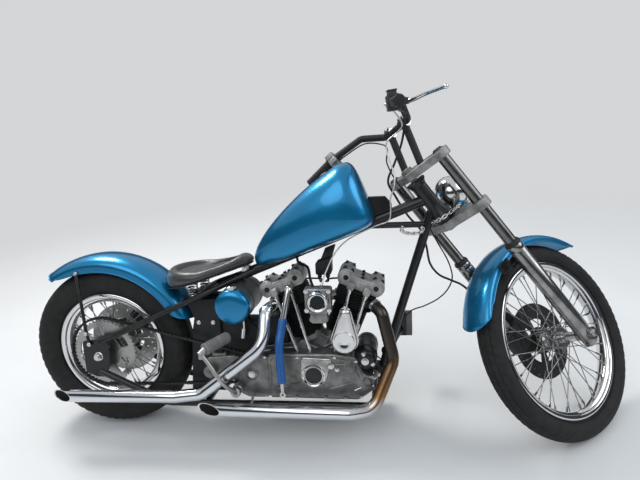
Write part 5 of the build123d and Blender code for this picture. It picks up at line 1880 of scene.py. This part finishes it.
@drawn("kick_arm", "steel", "steel", ["kick_starter"])
def kick_arm(bm):
    """The kick starter's hub and bent arm, which passes outside the rear pipe."""
    turned(bm, [(-163, 9), (-163, 17), (-160, 19.5), (-138, 19.5), (-131, 17), (-131, 9)], 40,
           centre=(548, 0, 214))
    bar(bm, (548, -178, 214), (548, -131, 214), 9, 24)
    turned(bm, [(-184, 6), (-186, 9), (-186, 15), (-183, 18), (-165, 18), (-165, 6)], 40,
           centre=(548, 0, 214))
    path = smooth_path([(546, -175, 220), (541, -195, 232), (529, -224, 262), (510, -236, 298),
                        (488, -235, 336), (456, -229, 380)], 8)
    pipe(bm, path, 8.5, 20, shape=[1.45 - 0.62 * min(1, i / 12) for i in range(len(path))])
    bar(bm, (449, -234, 380), (464, -214, 394), 12.5, 20)
    bar(bm, (453, -229, 366), (453, -229, 392), 9, 20)


@drawn("kick_pedal_rubber", "grey_rubber", "rubber", sharp=32)
def kick_pedal(bm):
    """The ribbed rubber of the kick pedal."""
    start, end = Vector((462, -221, 394)), Vector((518, -126, 404))
    length = (end - start).length
    profile = [(0, 0.01), (0, 14), (1.5, 19.5)]
    for i in range(9):
        low = 2 + (length - 6) * i / 9
        step = (length - 6) / 9
        profile += [(low + 0.1 * step, 21.5), (low + 0.62 * step, 21.5), (low + 0.72 * step, 19),
                    (low + 0.92 * step, 19)]
    profile += [(length - 2, 19), (length, 14), (length, 0.01)]
    turned(bm, profile, 40, axis=end - start, centre=start, shut=False)


@drawn("lever_rod", "plate", "chrome", ["sleeved_lever"])
def lever_rod(bm):
    """The bright rod above and below the blue sleeve."""
    top = [(748, -96, 580), (748, -108, 574), (742, -118, 545), (729, -138, 474)]
    pipe(bm, smooth_path(top, 6), 11.5, 24)
    bar(bm, (748, -84, 578), (748, -112, 574), 12.5, 24)
    bolt(bm, (748, -112, 574), (0, -1, -0.1), 7, 5)
    low = [(724, -194, 272), (725, -197, 246), (726, -200, 228)]
    pipe(bm, low, 7, 16)
    slab(bm, circle(10.5, 24, (726, 222)), -203.5, -196.5, 1.5, 1.5, holes=[circle(4.5, 16, (726, 222))])


@drawn("lever_sleeve", "sleeve", "sleeve", sharp=50)
def lever_sleeve(bm):
    """The blue sleeve over the lever."""
    path = smooth_path([(729.5, -137, 478), (722, -154, 432), (717, -169, 396), (719, -181, 330),
                        (724, -194.5, 262)], 10)
    shape = [1.0 + 0.018 * sin(i * 2.1) for i in range(len(path))]
    shape[0], shape[-1] = 0.9, 0.9
    pipe(bm, path, 15.0, 28, shape=shape)


def foot_peg():
    """The left foot peg's arm and its ribbed pad."""
    arm = bmesh.new()
    bar(arm, (1089.6, 0, 300), (1150, 222, 300), 9, 24)
    bar(arm, (1084, -3, 300), (1100, 24, 300), 20, 28)
    bolt(arm, (1110, 76, 300), (0, 0, 1), 5, 12)
    block(arm, (30, 14, 100), (1153, 226, 322), 3, 2)
    piece("foot_peg_arm", arm, "black", "rubber", ["foot_peg"])
    pad = bmesh.new()
    block(pad, (60, 12, 110), (1163, 236, 323), 4, 3)
    for i in range(8):
        block(pad, (54, 4, 7), (1163, 243, 275 + 13.7 * i), 1.2, 1)
    piece("foot_peg_pad", pad, "grey_rubber", "rubber")


class CHOPPER_OT_controls(bpy.types.Operator):
    """Builds the kick starter, sleeved lever and foot peg"""

    bl_idname = "chopper.controls"
    bl_label = "Foot Controls"

    def execute(self, context):
        kick_arm()
        kick_pedal()
        lever_rod()
        lever_sleeve()
        foot_peg()
        return {"FINISHED"}


# Front end
LAMP_CENTRE = (0, 0, 902)


@drawn("fork_lower_legs", "slider", "engine", ["fork_sliders"], FORK, body="steering", sharp=34)
def fork_legs(bm):
    """The lower legs."""
    for y in (-LEG_Y, LEG_Y):
        turned(bm, [(-42, 0.01), (-42, 12), (-39, 20), (-33, 24), (-24, 25.5), (24, 25.5), (34, 27),
                    (372, 27), (376, 25.5), (380, 27), (394, 27), (398, 25.5), (400, 22), (400, 20.2)], 56,
               (0, 0, 1), (FORK_OFFSET, y, 0), shut=False)
        bar(bm, (FORK_OFFSET, y - 31 if y < 0 else y - 28, 0),
            (FORK_OFFSET, y + 28 if y < 0 else y + 31, 0), 21, 36)
        bolt(bm, (FORK_OFFSET - 27, y, -26), (-1, 0, 0), 6, 6)
        bolt(bm, (FORK_OFFSET, y, -42), (0, 0, -1), 7, 4)
        for z in (70, 100):
            bolt(bm, (20, y - copysign(12, y), z), (-1, 0, 0), 5, 4)


@drawn("fork_dust_seals", "rubber", "rubber", (), FORK, body="steering")
def fork_seals(bm):
    """The dust seals on the legs."""
    for y in (-LEG_Y, LEG_Y):
        turned(bm, [(398, 20.6), (398, 27.6), (404, 28.4), (410, 26), (414, 23), (415, 20.6)], 48,
               (0, 0, 1), (FORK_OFFSET, y, 0))


@drawn("fork_upper_tubes", "fork_tube", "chrome", ["fork_tubes"], FORK, body="steering", sharp=34)
def fork_tubes(bm):
    """The upper tubes with their cap nuts."""
    for y in (-LEG_Y, LEG_Y):
        turned(bm, [(396, 20.5), (806, 20.5), (808, 19), (808, 0.01)], 56, (0, 0, 1), (FORK_OFFSET, y, 0),
               shut=False)
        bar(bm, (FORK_OFFSET, y, 806), (FORK_OFFSET, y, 812), 17, 6, 16)


def fork_trees():
    """Both trees, the lower with the stem and the upper with its nut."""
    plan = Matrix.Rotation(radians(90), 4, "X")
    outline = hull_of(((FORK_OFFSET, LEG_Y, 32.5), (FORK_OFFSET, -LEG_Y, 32.5), (0, 0, 28.7)), 72)
    for low, high, name, node in ((560, 592, "lower", "lower_tree"), (776, 804, "upper", "upper_tree")):
        tree = bmesh.new()
        slab(tree, outline, low, high, 3.5, 3.5, segments=3)
        moved(tree, 0, plan)
        for y in (-LEG_Y, LEG_Y):
            for x in (10, 80):
                bar(tree, (x, y - 9, low + 5), (x, y - 9, high - 5), 0.6, 8)
            block(tree, (14, 22, high - low - 6), (78, y * 0.99, (low + high) / 2), 3, 2)
            bolt(tree, (82, y * 0.99 - 11 * copysign(1, y), (low + high) / 2), (0, -copysign(1, y), 0), 7,
                 6)
            bolt(tree, (62, y * 1.0, high - 0.5), (0, 0, 1), 5, 3)
        if name == "lower":
            bar(tree, (0, 0, 554), (0, 0, 812), 12.7, 28)
        else:
            bar(tree, (0, 0, 804), (0, 0, 806), 25, 32)
            bar(tree, (0, 0, 806), (0, 0, 818), 22, 6, 21)
            bar(tree, (0, 0, 818), (0, 0, 820), 13, 24, 11)
        piece(f"{name}_tree_casting", tree, "tree", "black", [node], FORK, body="steering", sharp=34)


@drawn("front_axle_nuts", "plate", "chrome", ["front_axle"], FORK, body="steering")
def front_axle(bm):
    """The front axle, its nuts and spacers."""
    bar(bm, (FORK_OFFSET, -158, 0), (FORK_OFFSET, 158, 0), 9.5, 24)
    for y in (-1, 1):
        bar(bm, (FORK_OFFSET, y * 156, 0), (FORK_OFFSET, y * 158.5, 0), 15, 28)
        bar(bm, (FORK_OFFSET, y * 158.5, 0), (FORK_OFFSET, y * 168, 0), 13.5, 6, 12.8)
        bar(bm, (FORK_OFFSET, y * 47, 0), (FORK_OFFSET, y * 94, 0), 14, 28)


@drawn("headlamp_bowl", "chrome", "chrome", ["headlamp"], STEERED, body="steering", sharp=42)
def headlamp_bowl(bm):
    """The lamp's bowl and rim."""
    bowl = [(1300, 0.01), (1300.6, 14), (1303, 26), (1308, 36), (1315, 44), (1325, 51), (1337, 55),
            (1350, 57), (1372, 57.4), (1378, 57.0)]
    turned(bm, bowl + [(1378, 54), (1350, 52), (1320, 40), (1306, 0.01)], 72, (1, 0, 0), LAMP_CENTRE,
           shut=False)
    turned(bm, [(1376, 54), (1376, 59.5), (1379, 61), (1390, 61), (1396, 58.5), (1397, 55), (1395, 52.5),
                (1390, 52)], 72, (1, 0, 0), LAMP_CENTRE)
    bolt(bm, (1386, 0, 842), (0, 0, -1), 4, 5)


@drawn("headlamp_lens", "glass", "chrome", (), STEERED, body="steering", sharp=60)
def headlamp_lens(bm):
    """The lamp's lens with its flat back."""
    turned(bm, [(1386, 53.5), (1391, 52.8), (1395, 46), (1398.5, 34), (1400.5, 18), (1401, 0.01)], 64,
           (1, 0, 0), LAMP_CENTRE, shut=False)
    turned(bm, [(1386, 53.5), (1384, 0.01)], 64, (1, 0, 0), LAMP_CENTRE, shut=False)


@drawn("headlamp_mount", "black", "black", (), STEERED, body="steering")
def headlamp_mount(bm):
    """The bent stalk that carries the lamp."""
    foot = on_axis(592) + fork_x * 42
    top = on_axis(652.2) + fork_x * 101.8 - Vector((0, 0, 40))
    pipe(bm, smooth_path([foot, foot.lerp(top, 0.5) + Vector((8, 0, -6)), top], 8), 9, 20)
    bar(bm, top - Vector((0, 0, 6)), top + Vector((0, 0, 4)), 15, 28)
    bolt(bm, top - Vector((0, 0, 6)), (0, 0, -1), 8, 7)
    block(bm, (40, 30, 8), STEER_FREE @ Matrix.Translation((44, 0, 596)), 2, 2)


class CHOPPER_OT_fork(bpy.types.Operator):
    """Builds the fork legs, trees, axle and headlamp"""

    bl_idname = "chopper.fork"
    bl_label = "Fork and Headlamp"

    def execute(self, context):
        fork_legs()
        fork_seals()
        fork_tubes()
        fork_trees()
        front_axle()
        headlamp_bowl()
        headlamp_lens()
        headlamp_mount()
        return {"FINISHED"}


GRIP_START = Vector((1010.0, 186.0, 1096.0))
GRIP_END = Vector((944.0, 292.0, 1030.0))
GRIP_WAY = (GRIP_END - GRIP_START).normalized()
PERCH = GRIP_START + GRIP_WAY * 16
PERCH_OUT = -(Vector((0, 0, 1)).cross(GRIP_WAY)).normalized()
BOSS_UP = PERCH_OUT.cross(GRIP_WAY)
BOSS_UP = BOSS_UP if BOSS_UP.z > 0 else -BOSS_UP


def right_side(point):
    """The same place on the bike's right."""
    return Vector((point[0], -point[1], point[2]))


@drawn("grip_rubbers", "rubber", "rubber", ["grips"], STEERED, body="steering", sharp=30)
def grip_rubbers(bm):
    """Both ribbed grips."""
    for flip in (False, True):
        start, end = GRIP_START + GRIP_WAY * 34, GRIP_END + GRIP_WAY * 4
        start, end = (right_side(start), right_side(end)) if flip else (start, end)
        length = (end - start).length
        profile = [(0, 13.2), (0, 19.5), (3, 20), (5, 17)]
        count = 11
        for i in range(count):
            low = 7 + (length - 16) * i / count
            step = (length - 16) / count
            profile += [(low, 15.6), (low + step * 0.2, 17.1), (low + step * 0.75, 17.1),
                        (low + step * 0.95, 15.6)]
        profile += [(length - 7, 17.5), (length - 3, 17.8), (length, 15), (length + 1, 8),
                    (length + 1, 0.01)]
        turned(bm, profile, 36, axis=end - start, centre=start, shut=False)


def control_housings():
    """The left and right housings, the right with the brake's master cylinder."""
    for flip, name, finish in ((False, "left", "alloy"), (True, "right", "dusty_black")):
        bm = bmesh.new()
        place = frame_of(PERCH, PERCH_OUT, BOSS_UP, GRIP_WAY)
        for y in (-12.1, 12.1):
            block(bm, (44, 23, 34), place @ Matrix.Translation((0, y, 0)), 3.5, 3)
        for z in (-10, 10):
            for x in (-14, 14):
                before = stamp(bm)
                bolt(bm, (x, 23.6, z), (0, 1, 0), 3.6, 2.4, washer=False)
                moved(bm, before, place)
        before = stamp(bm)
        bar(bm, (16, 0, 0), (42, 0, 0), 8, 20)
        turned(bm, [(-10, 0.01), (-10, 10), (12, 10), (12, 5.0), (-4, 5.0), (-4, 0.01)], 32, (0, 1, 0),
               (30, 0, 0))
        bar(bm, (42, -8, 0), (42, 8, 0), 8.5, 20)
        moved(bm, before, place)
        if flip:
            # the brake's master cylinder lies along the bar
            before = stamp(bm)
            block(bm, (26, 18, 44), (-2, 27, -2), 3, 2)
            block(bm, (30, 4, 50), (-2, 37.5, -2), 1.5, 2)
            moved(bm, before, place)
            bmesh.ops.scale(bm, vec=(1, -1, 1), verts=bm.verts)
        else:
            for x, z in ((-7, -6), (8, 7)):
                before = stamp(bm)
                block(bm, (9, 3, 11), (x, -24.2, z), 1, 1)
                moved(bm, before, place)
        piece(f"{name}_control_housing", bm, finish, "black", ["control_housings"] if flip else [],
              STEERED, body="steering", sharp=34)


@drawn("lever_blades", "chrome", "chrome", ["hand_levers"], STEERED, body="steering")
def hand_levers(bm):
    """Both lever blades with their ball ends."""
    for flip in (False, True):
        root = PERCH + PERCH_OUT * 42
        tip = (GRIP_WAY * 0.87 + PERCH_OUT * 0.49) * 172 + BOSS_UP * 15
        path = [root, root + GRIP_WAY * 20 + PERCH_OUT * 15, root + tip * 0.5, root + tip * 0.8, root + tip]
        path = smooth_path([right_side(p) if flip else p for p in path], 8)
        shape = [1.3 - 0.4 * i / len(path) for i in range(len(path))]
        pipe(bm, path, 5.6, 16, shape=shape)
        before = stamp(bm)
        bmesh.ops.create_uvsphere(bm, u_segments=20, v_segments=12, radius=7.5)
        moved(bm, before, Matrix.Translation(path[-1]))
        pin = root if not flip else right_side(root)
        up = BOSS_UP if not flip else right_side(BOSS_UP)
        bar(bm, pin - up * 10, pin + up * 10, 4, 12)


@drawn("riser_bolts", "plate", "steel", (), STEERED, body="steering")
def riser_bolts(bm):
    """The bolts and cheeks of the bar clamps."""
    for y in (-42, 42):
        for way in (-1, 1):
            at = Vector((1164, y, 1132)) + Vector((way * 14, 0, 14))
            for off in (-9, 9):
                bolt(bm, at + Vector((0, off, 0)), (0, 0, 1), 4, 6)
        bar(bm, (1164, y - 15.6, 1132), (1164, y - 15, 1132), 18.5, 32)
        bar(bm, (1164, y + 15, 1132), (1164, y + 15.6, 1132), 18.5, 32)


class CHOPPER_OT_handlebar(bpy.types.Operator):
    """Builds the grips, housings, levers and riser bolts"""

    bl_idname = "chopper.handlebar"
    bl_label = "Handlebar Controls"

    def execute(self, context):
        grip_rubbers()
        control_housings()
        hand_levers()
        riser_bolts()
        return {"FINISHED"}


HOUSING_FACE = PERCH - GRIP_WAY * 17.2
INWARD = GRIP_WAY * -24
PARKED = Matrix.Identity(4)


def ferrule(bm, at, toward, radius, length):
    """A metal end on a cable, in the parked frame."""
    at, toward = Vector(at), Vector(toward)
    way = (toward - at).normalized()
    bar(bm, at, at + way * length, radius * MM, 14)
    bar(bm, at + way * length, at + way * (length + 6 * MM), radius * 0.7 * MM, 14)


def brake_hose():
    """The front brake hose, from the right housing past the trees to the caliper."""
    route = [right_side(HOUSING_FACE + PERCH_OUT * 13 - BOSS_UP * 14 - GRIP_WAY * 1.3)]
    route.append(route[0] + right_side(INWARD + PERCH_OUT * 6 - BOSS_UP * 8))
    route += [(1108, -118, 1118), (1142, -66, 1104), (1160, -12, 1066), (1152, 32, 1014)]
    hose = [STEERED @ Vector(p) for p in route]
    hose += [FORK @ Vector(p) for p in (
        (-26, 76, 824), (-26, 96, 764), (-24, 112, 680), (-14, 119, 600), (-42, 120, 548), (-80, 120, 496),
        (-82, 119, 444), (-56, 118, 396), (-30, 117, 350), (-24, 112, 296), (-34, 100, 240), (-46, 84, 196),
        (-50, 62, 160), (-50, 62, 130))]
    tube = bmesh.new()
    pipe(tube, smooth_path(hose, 8), 4.0 * MM, 14)
    finish_piece("front_brake_hose_tube", tube, "rubber", "steering", "rubber", PARKED,
                 ["front_brake_hose"], merge=False)
    ends = bmesh.new()
    ferrule(ends, hose[0], hose[1], 6.5, 14 * MM)
    ferrule(ends, hose[-1], hose[-2], 6.5, 14 * MM)
    finish_piece("brake_hose_ends", ends, "plate", "steering", "rubber", PARKED, merge=False)


def bending_cable(name, node, finish, slot, high, low):
    """A cable from the handlebar to the engine: high points lie in the turned steering's place, low ones in
    the frame's.
    """
    points = [STEERED @ Vector(p) for p in high] + [BIKE @ Vector(p) for p in low]
    bm = bmesh.new()
    pipe(bm, smooth_path(points, 8), 2.5 * MM, 12)
    ferrule(bm, points[0], points[1], 4.2, 12 * MM)
    ferrule(bm, points[-1], points[-2], 4.2, 12 * MM)
    cable = finish_piece(name, bm, finish, None, slot, PARKED, [node], merge=False)
    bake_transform(cable)


def clutch_cable():
    """The clutch cable, which loops in front of the down tube."""
    high = [HOUSING_FACE - BOSS_UP * 18]
    high += [high[0] + INWARD - BOSS_UP * 6, (1090, 110, 1120), (1134, 62, 1098), (1118, 18, 1052)]
    low = ((1102, 14, 1002), (1121, 8, 956), (1145, 14, 917), (1180, 46, 870), (1218, 50, 812),
           (1254, 40, 752), (1281, 44, 699), (1308, 42, 651), (1324, 36, 610), (1329, 30, 571),
           (1312, 26, 531), (1279, 23, 498), (1230, 22, 471), (1178, 22, 450), (1144, 19, 404),
           (1128, 17, 350), (1112, 16, 298), (1098, 26, 254), (1070, 56, 238), (1030, 88, 252),
           (974, 100, 262))
    bending_cable("clutch_cable_tube", "clutch_cable", "rubber", "rubber", high, low)


def throttle_cable():
    """The braided throttle cable, from the right grip to the carburettor."""
    high = [right_side(HOUSING_FACE - PERCH_OUT * 16.5)]
    high += [high[0] + right_side(INWARD - PERCH_OUT * 6), (1068, -116, 1116), (1118, -84, 1098),
             (1124, -48, 1088), (1104, -4, 1070)]
    low = ((1106, -2, 1026), (1117, -22, 992), (1128, -48, 952), (1124, -56, 914), (1112, -52, 878),
           (1112, -47, 836), (1103, -35, 800), (1050, -29, 779), (960, -32, 736), (912, -54, 690),
           (884, -92, 636), (868, -118, 591.6))
    bending_cable("throttle_cable_braid", "throttle_cable", "braid", "steel", high, low)


class CHOPPER_OT_cables(bpy.types.Operator):
    """Builds the brake hose and the cables, shaped to the turned steering"""

    bl_idname = "chopper.cables"
    bl_label = "Cables"

    def execute(self, context):
        brake_hose()
        clutch_cable()
        throttle_cable()
        return {"FINISHED"}


def chain_link(chain, at, way, roll):
    """One oval link of a small chain."""
    before = stamp(chain)
    path = []
    for k in range(14):
        turn = 2 * pi * k / 14
        stretch = 5.2 if cos(turn) > 0 else -5.2
        path.append((stretch + 5.0 * cos(turn), 5.0 * sin(turn), 0))
    pipe(chain, path, 1.9, 7, loop=True)
    matrix = along(way, at) @ Matrix.Rotation(roll, 4, "Z") @ Matrix.Rotation(radians(90), 4, "Y")
    moved(chain, before, matrix)


@drawn("neck_chain", "chrome", "black", (), STEERED, body="steering", sharp=60)
def neck_chain(bm):
    """The chain that hangs round the steering neck and turns with it."""
    centre = on_axis(609.0)
    count = 22
    for i in range(count):
        turn = 2 * pi * i / count
        reach = 52.0 + 10.0 * cos(turn)
        droop = -8.0 * cos(turn) + 2.0 * sin(3 * turn)
        across = Vector((0, reach * sin(turn), 0))
        at = centre + fork_x * reach * cos(turn) + across + fork_z * droop
        way = fork_x * -sin(turn) + Vector((0, cos(turn), 0))
        chain_link(bm, at, way, radians(90 * (i % 2) + 20))


@drawn("neck_chain_tail", "chrome", "black", sharp=60)
def neck_chain_tail(bm):
    """The loose end of the chain, which stays with the frame."""
    for i in range(12):
        share = i / 11
        turn = pi * (0.96 + 1.08 * share)
        at = (1186 + 36 * cos(turn), -13 + 2 * sin(5 * share), 764 + 15 * sin(turn))
        chain_link(bm, at, (-36 * sin(turn), 0, 15 * cos(turn)), radians(90 * (i % 2) + 10))


@drawn("neck_cups", "black", "black", sharp=40)
def neck_cups(bm):
    """The bearing cups of the steering neck."""
    bottom = [(599, 24), (599, 37), (603, 40), (612, 40), (624, 36), (640, 31), (662, 28), (664, 24)]
    top = [(742, 24), (744, 28), (754, 32), (760, 37), (766, 37), (768, 34), (768, 24)]
    for profile in (bottom, top):
        turned(bm, profile, 56, fork_z, fork_foot)


@drawn("frame_bolts", "plate", "steel")
def frame_bolts(bm):
    """The engine's, gearbox's and seat's bolts in the frame."""
    for x, z, y in ((1028, 236, 30), (1052, 220, 30)):
        for side in (-1, 1):
            bolt(bm, (x, side * y, z), (0, side, 0), 7, 6)
    for x in (500, 540):
        for side in (-1, 1):
            bolt(bm, (x, side * 34, 245), (0, side, 0), 6.5, 5)
    for side in (-1, 1):
        bolt(bm, (300, side * 12, 585), (0, side, 0), 6, 4)
    for x in (380, 437):
        bolt(bm, (x, -52, 431), (0, -1, 0), 6, 7)


@drawn("electrics_box", "satin", "black")
def electrics_box(bm):
    """The box before the rear wheel and its shelf under the oil tank."""
    outline = [(326, 152), (466, 152), (466, 524), (330, 524)]
    slab(bm, rounded(outline + arc((0, 322), 383, 30, 19, 4) + [(350, 396)], 5, 2), -52, 52, 4, 4)
    under = [(460, 300), (560, 300), (640, 340), (722, 345), (722, 440), (700, 462), (612, 432), (460, 432)]
    slab(bm, rounded(under, 8, 3), -40, 40, 4, 4)


@drawn("gearbox_castings", "alloy", "engine")
def gearbox(bm):
    """The gearbox castings behind the engine."""
    slab(bm, rounded([(404, 204), (548, 204), (552, 292), (512, 306), (404, 296)], 14, 4), -70, 62, 5, 5)
    block(bm, (56, 96, 12), (452, -14, 304), 3, 2)
    slab(bm, circle(24, 40, (424, 252)), -66, -104, 5, segments=3)
    bolt(bm, (424, -104, 252), (0, -1, 0), 8, 6)
    for x in (430, 474):
        bolt(bm, (x, -54, 310), (0, 0, 1), 5, 4)


class CHOPPER_OT_fittings(bpy.types.Operator):
    """Builds the chain round the neck, the frame's bolts, the electrics box and the gearbox"""

    bl_idname = "chopper.fittings"
    bl_label = "Fittings"

    def execute(self, context):
        neck_chain()
        neck_chain_tail()
        neck_cups()
        frame_bolts()
        electrics_box()
        gearbox()
        return {"FINISHED"}


# The stage and the run
class CHOPPER_OT_finishes(bpy.types.Operator):
    """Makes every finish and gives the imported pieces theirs"""

    bl_idname = "chopper.finishes"
    bl_label = "Finishes"

    def execute(self, context):
        _, colours = settings()
        make_finishes(colours)
        for name, node in frame["nodes"].items():
            finish = finishes[node_finishes.get(name, "black")]
            if node.material_slots:
                for place in node.material_slots:
                    place.link = "OBJECT"
                    place.material = finish
            else:
                node.data.materials.append(finish)
        return {"FINISHED"}


node_finishes = {"risers": "satin", "handlebar": "satin", "stand_bracket": "satin"}


def stage_mesh(name, bm):
    """A piece of the studio, which isn't part of the model."""
    mesh = bpy.data.meshes.new(name)
    bm.to_mesh(mesh)
    bm.free()
    made = bpy.data.objects.new(name, mesh)
    bpy.context.scene.collection.objects.link(made)
    return made


def studio_floor():
    """The pale floor, which far from the machine passes into the backdrop's own colour."""
    floor = bmesh.new()
    bmesh.ops.create_grid(floor, x_segments=1, y_segments=1, size=40.0)
    ground = stage_mesh("studio_floor", floor)
    pale = Finish("studio_floor", (0.6, 0.6, 0.6), 0.85)
    mottle = pale.noise(1.6, 6.0, 0.6)
    pale.set("Base Color", pale.mix(mottle, (0.56, 0.56, 0.558), (0.64, 0.64, 0.64)))
    reach = Value(pale, pale.node("ShaderNodeVectorMath", {"operation": "LENGTH"},
                                  pale.place()).outputs["Value"])
    seen = pale.seen() * ((reach - 1.7) / 2.6).clamp(0.0, 1.0)
    sky = pale.node("ShaderNodeEmission", None, (*BACKDROP, 1.0), 1.0)
    both = pale.node("ShaderNodeMixShader", None, seen, pale.shader.outputs[0], sky.outputs[0])
    pale.feed(pale.tree.nodes["Material Output"].inputs["Surface"], both.outputs[0])
    ground.data.materials.append(pale.material)


def studio_wall():
    """A dim wall far round the studio, which only shiny surfaces mirror."""
    band = bmesh.new()
    turned(band, [(0.5, 6.0), (2.6, 6.0)], 48, (0, 0, 1), shut=False)
    wall = stage_mesh("studio_wall", band)
    wall.visible_camera = wall.visible_diffuse = wall.visible_shadow = wall.visible_transmission = False
    wall.data.materials.append(Finish("studio_wall", (0.035, 0.045, 0.06), 0.9).material)


def studio_world():
    """Light from all round, paler above, behind a plain backdrop."""
    world = bpy.data.worlds.new("studio_light")
    bpy.context.scene.world = world
    world.use_nodes = True
    light = Nodes(world.node_tree)
    stops = ((0.0, (0.30, 0.30, 0.31, 1)), (0.8, (0.85, 0.93, 1.0, 1)))
    ramp = light.node("ShaderNodeValToRGB", {"stops": stops})
    height = light.node("ShaderNodeSeparateXYZ", None,
                        light.node("ShaderNodeTexCoord").outputs["Generated"])
    light.feed(ramp.inputs[0], height.outputs[2])
    background = world.node_tree.nodes["Background"]
    light.feed(background.inputs[0], light.mix(light.seen(), ramp.outputs[0], BACKDROP))
    light.feed(background.inputs[1], 1.0)


# name, place, aimed at, size, power, colour
LAMPS = (
    ("key_softbox", (-2.4, 1.6, 4.2), (0.0, 0.0, 0.3), 1.6, 150.0, (1.0, 0.97, 0.93)),
    ("front_softbox", (-1.4, -4.0, 4.4), (0.0, 0.0, 0.4), 4.5, 90.0, (0.96, 0.98, 1.0)),
    ("side_softbox", (3.8, -0.6, 3.2), (0.3, 0.0, 0.5), 3.0, 55.0, (0.94, 0.97, 1.0)),
)


def studio_lamps():
    """The round soft lamps."""
    for name, place, aim, size, power, colour in LAMPS:
        lamp = bpy.data.lights.new(name, "AREA")
        lamp.shape = "DISK"
        lamp.size = size
        lamp.energy = power
        lamp.color = colour
        holder = bpy.data.objects.new(name, lamp)
        way = Vector(aim) - Vector(place)
        holder.matrix_world = Matrix.Translation(place) @ way.to_track_quat("-Z", "Y").to_matrix().to_4x4()
        bpy.context.scene.collection.objects.link(holder)


# The camera fitted to the photograph: its directions, and its place from the rear axle in metres
HEADING, TILT, ROLL = radians(-8.8171), radians(18.034), radians(4.9467)
EYE = Vector((1.1172, -1.5999, 0.9349))


def photo_camera():
    """The camera of the photograph."""
    scene = bpy.context.scene
    forward = Vector((sin(HEADING) * cos(TILT), cos(HEADING) * cos(TILT), -sin(TILT)))
    level = Vector((cos(HEADING), -sin(HEADING), 0.0))
    below = forward.cross(level)
    right = level * cos(ROLL) + below * sin(ROLL)
    down = below * cos(ROLL) - level * sin(ROLL)
    camera = bpy.data.cameras.new("photo_camera")
    camera.sensor_width = 36.0
    camera.lens = 27.0
    camera.clip_end = 200.0
    eye = bpy.data.objects.new("photo_camera", camera)
    eye.matrix_world = frame_of(rear_axle + EYE, right, -down, -forward)
    scene.collection.objects.link(eye)
    scene.camera = eye
    scene.view_settings.view_transform = "Standard"


class CHOPPER_OT_stage(bpy.types.Operator):
    """Makes the pale floor, the soft studio light and the camera"""

    bl_idname = "chopper.stage"
    bl_label = "Stage"

    def execute(self, context):
        studio_floor()
        studio_wall()
        studio_world()
        studio_lamps()
        photo_camera()
        return {"FINISHED"}


class ChopperSizes(bpy.types.PropertyGroup):
    """The sizes that a user would change"""

    tread_depth: FloatProperty(name="Tread Depth", description="Depth of the tyre grooves", default=0.004,
                               unit="LENGTH")
    spoke_radius: FloatProperty(name="Spoke Radius", description="Radius of a wire spoke", default=0.0018,
                                unit="LENGTH")
    spokes: IntProperty(name="Spokes", description="Wire spokes in each wheel", default=40)


class ChopperColours(bpy.types.PropertyGroup):
    """The colours that a user would change"""

    blue: FloatVectorProperty(name="Blue", description="Metallic blue of the tank, fenders and oil tank",
                              default=(0.0, 0.2, 0.42), subtype="COLOR")
    black: FloatVectorProperty(
        name="Black", description="Gloss black of the frame", default=(0.008, 0.008, 0.009), subtype="COLOR"
    )


class CHOPPER_PT_panel(bpy.types.Panel):
    """The pieces of the chopper, each with its button"""

    bl_label = "Chopper"
    bl_idname = "CHOPPER_PT_panel"
    bl_space_type = "VIEW_3D"
    bl_region_type = "UI"
    bl_category = "Chopper"

    def draw(self, context):
        for group in (context.scene.chopper_sizes, context.scene.chopper_colours):
            for key in group.__annotations__:
                self.layout.prop(group, key)
        for step in steps:
            self.layout.operator(step.bl_idname)


steps = (CHOPPER_OT_finishes, CHOPPER_OT_wheels, CHOPPER_OT_drive, CHOPPER_OT_bodywork, CHOPPER_OT_seat,
         CHOPPER_OT_engine_cases, CHOPPER_OT_cylinders, CHOPPER_OT_intake, CHOPPER_OT_exhaust,
         CHOPPER_OT_controls, CHOPPER_OT_fork, CHOPPER_OT_handlebar, CHOPPER_OT_cables,
         CHOPPER_OT_fittings, CHOPPER_OT_stage)
classes = (ChopperSizes, ChopperColours, *steps, CHOPPER_PT_panel)


def register():
    for kind in classes:
        bpy.utils.register_class(kind)
    bpy.types.Scene.chopper_sizes = PointerProperty(type=ChopperSizes)
    bpy.types.Scene.chopper_colours = PointerProperty(type=ChopperColours)


def unregister():
    del bpy.types.Scene.chopper_colours
    del bpy.types.Scene.chopper_sizes
    for kind in reversed(classes):
        bpy.utils.unregister_class(kind)


def main():
    register()
    for step in steps:
        group, name = step.bl_idname.split(".")
        getattr(getattr(bpy.ops, group), name)()


if __name__ == "__main__":
    main()
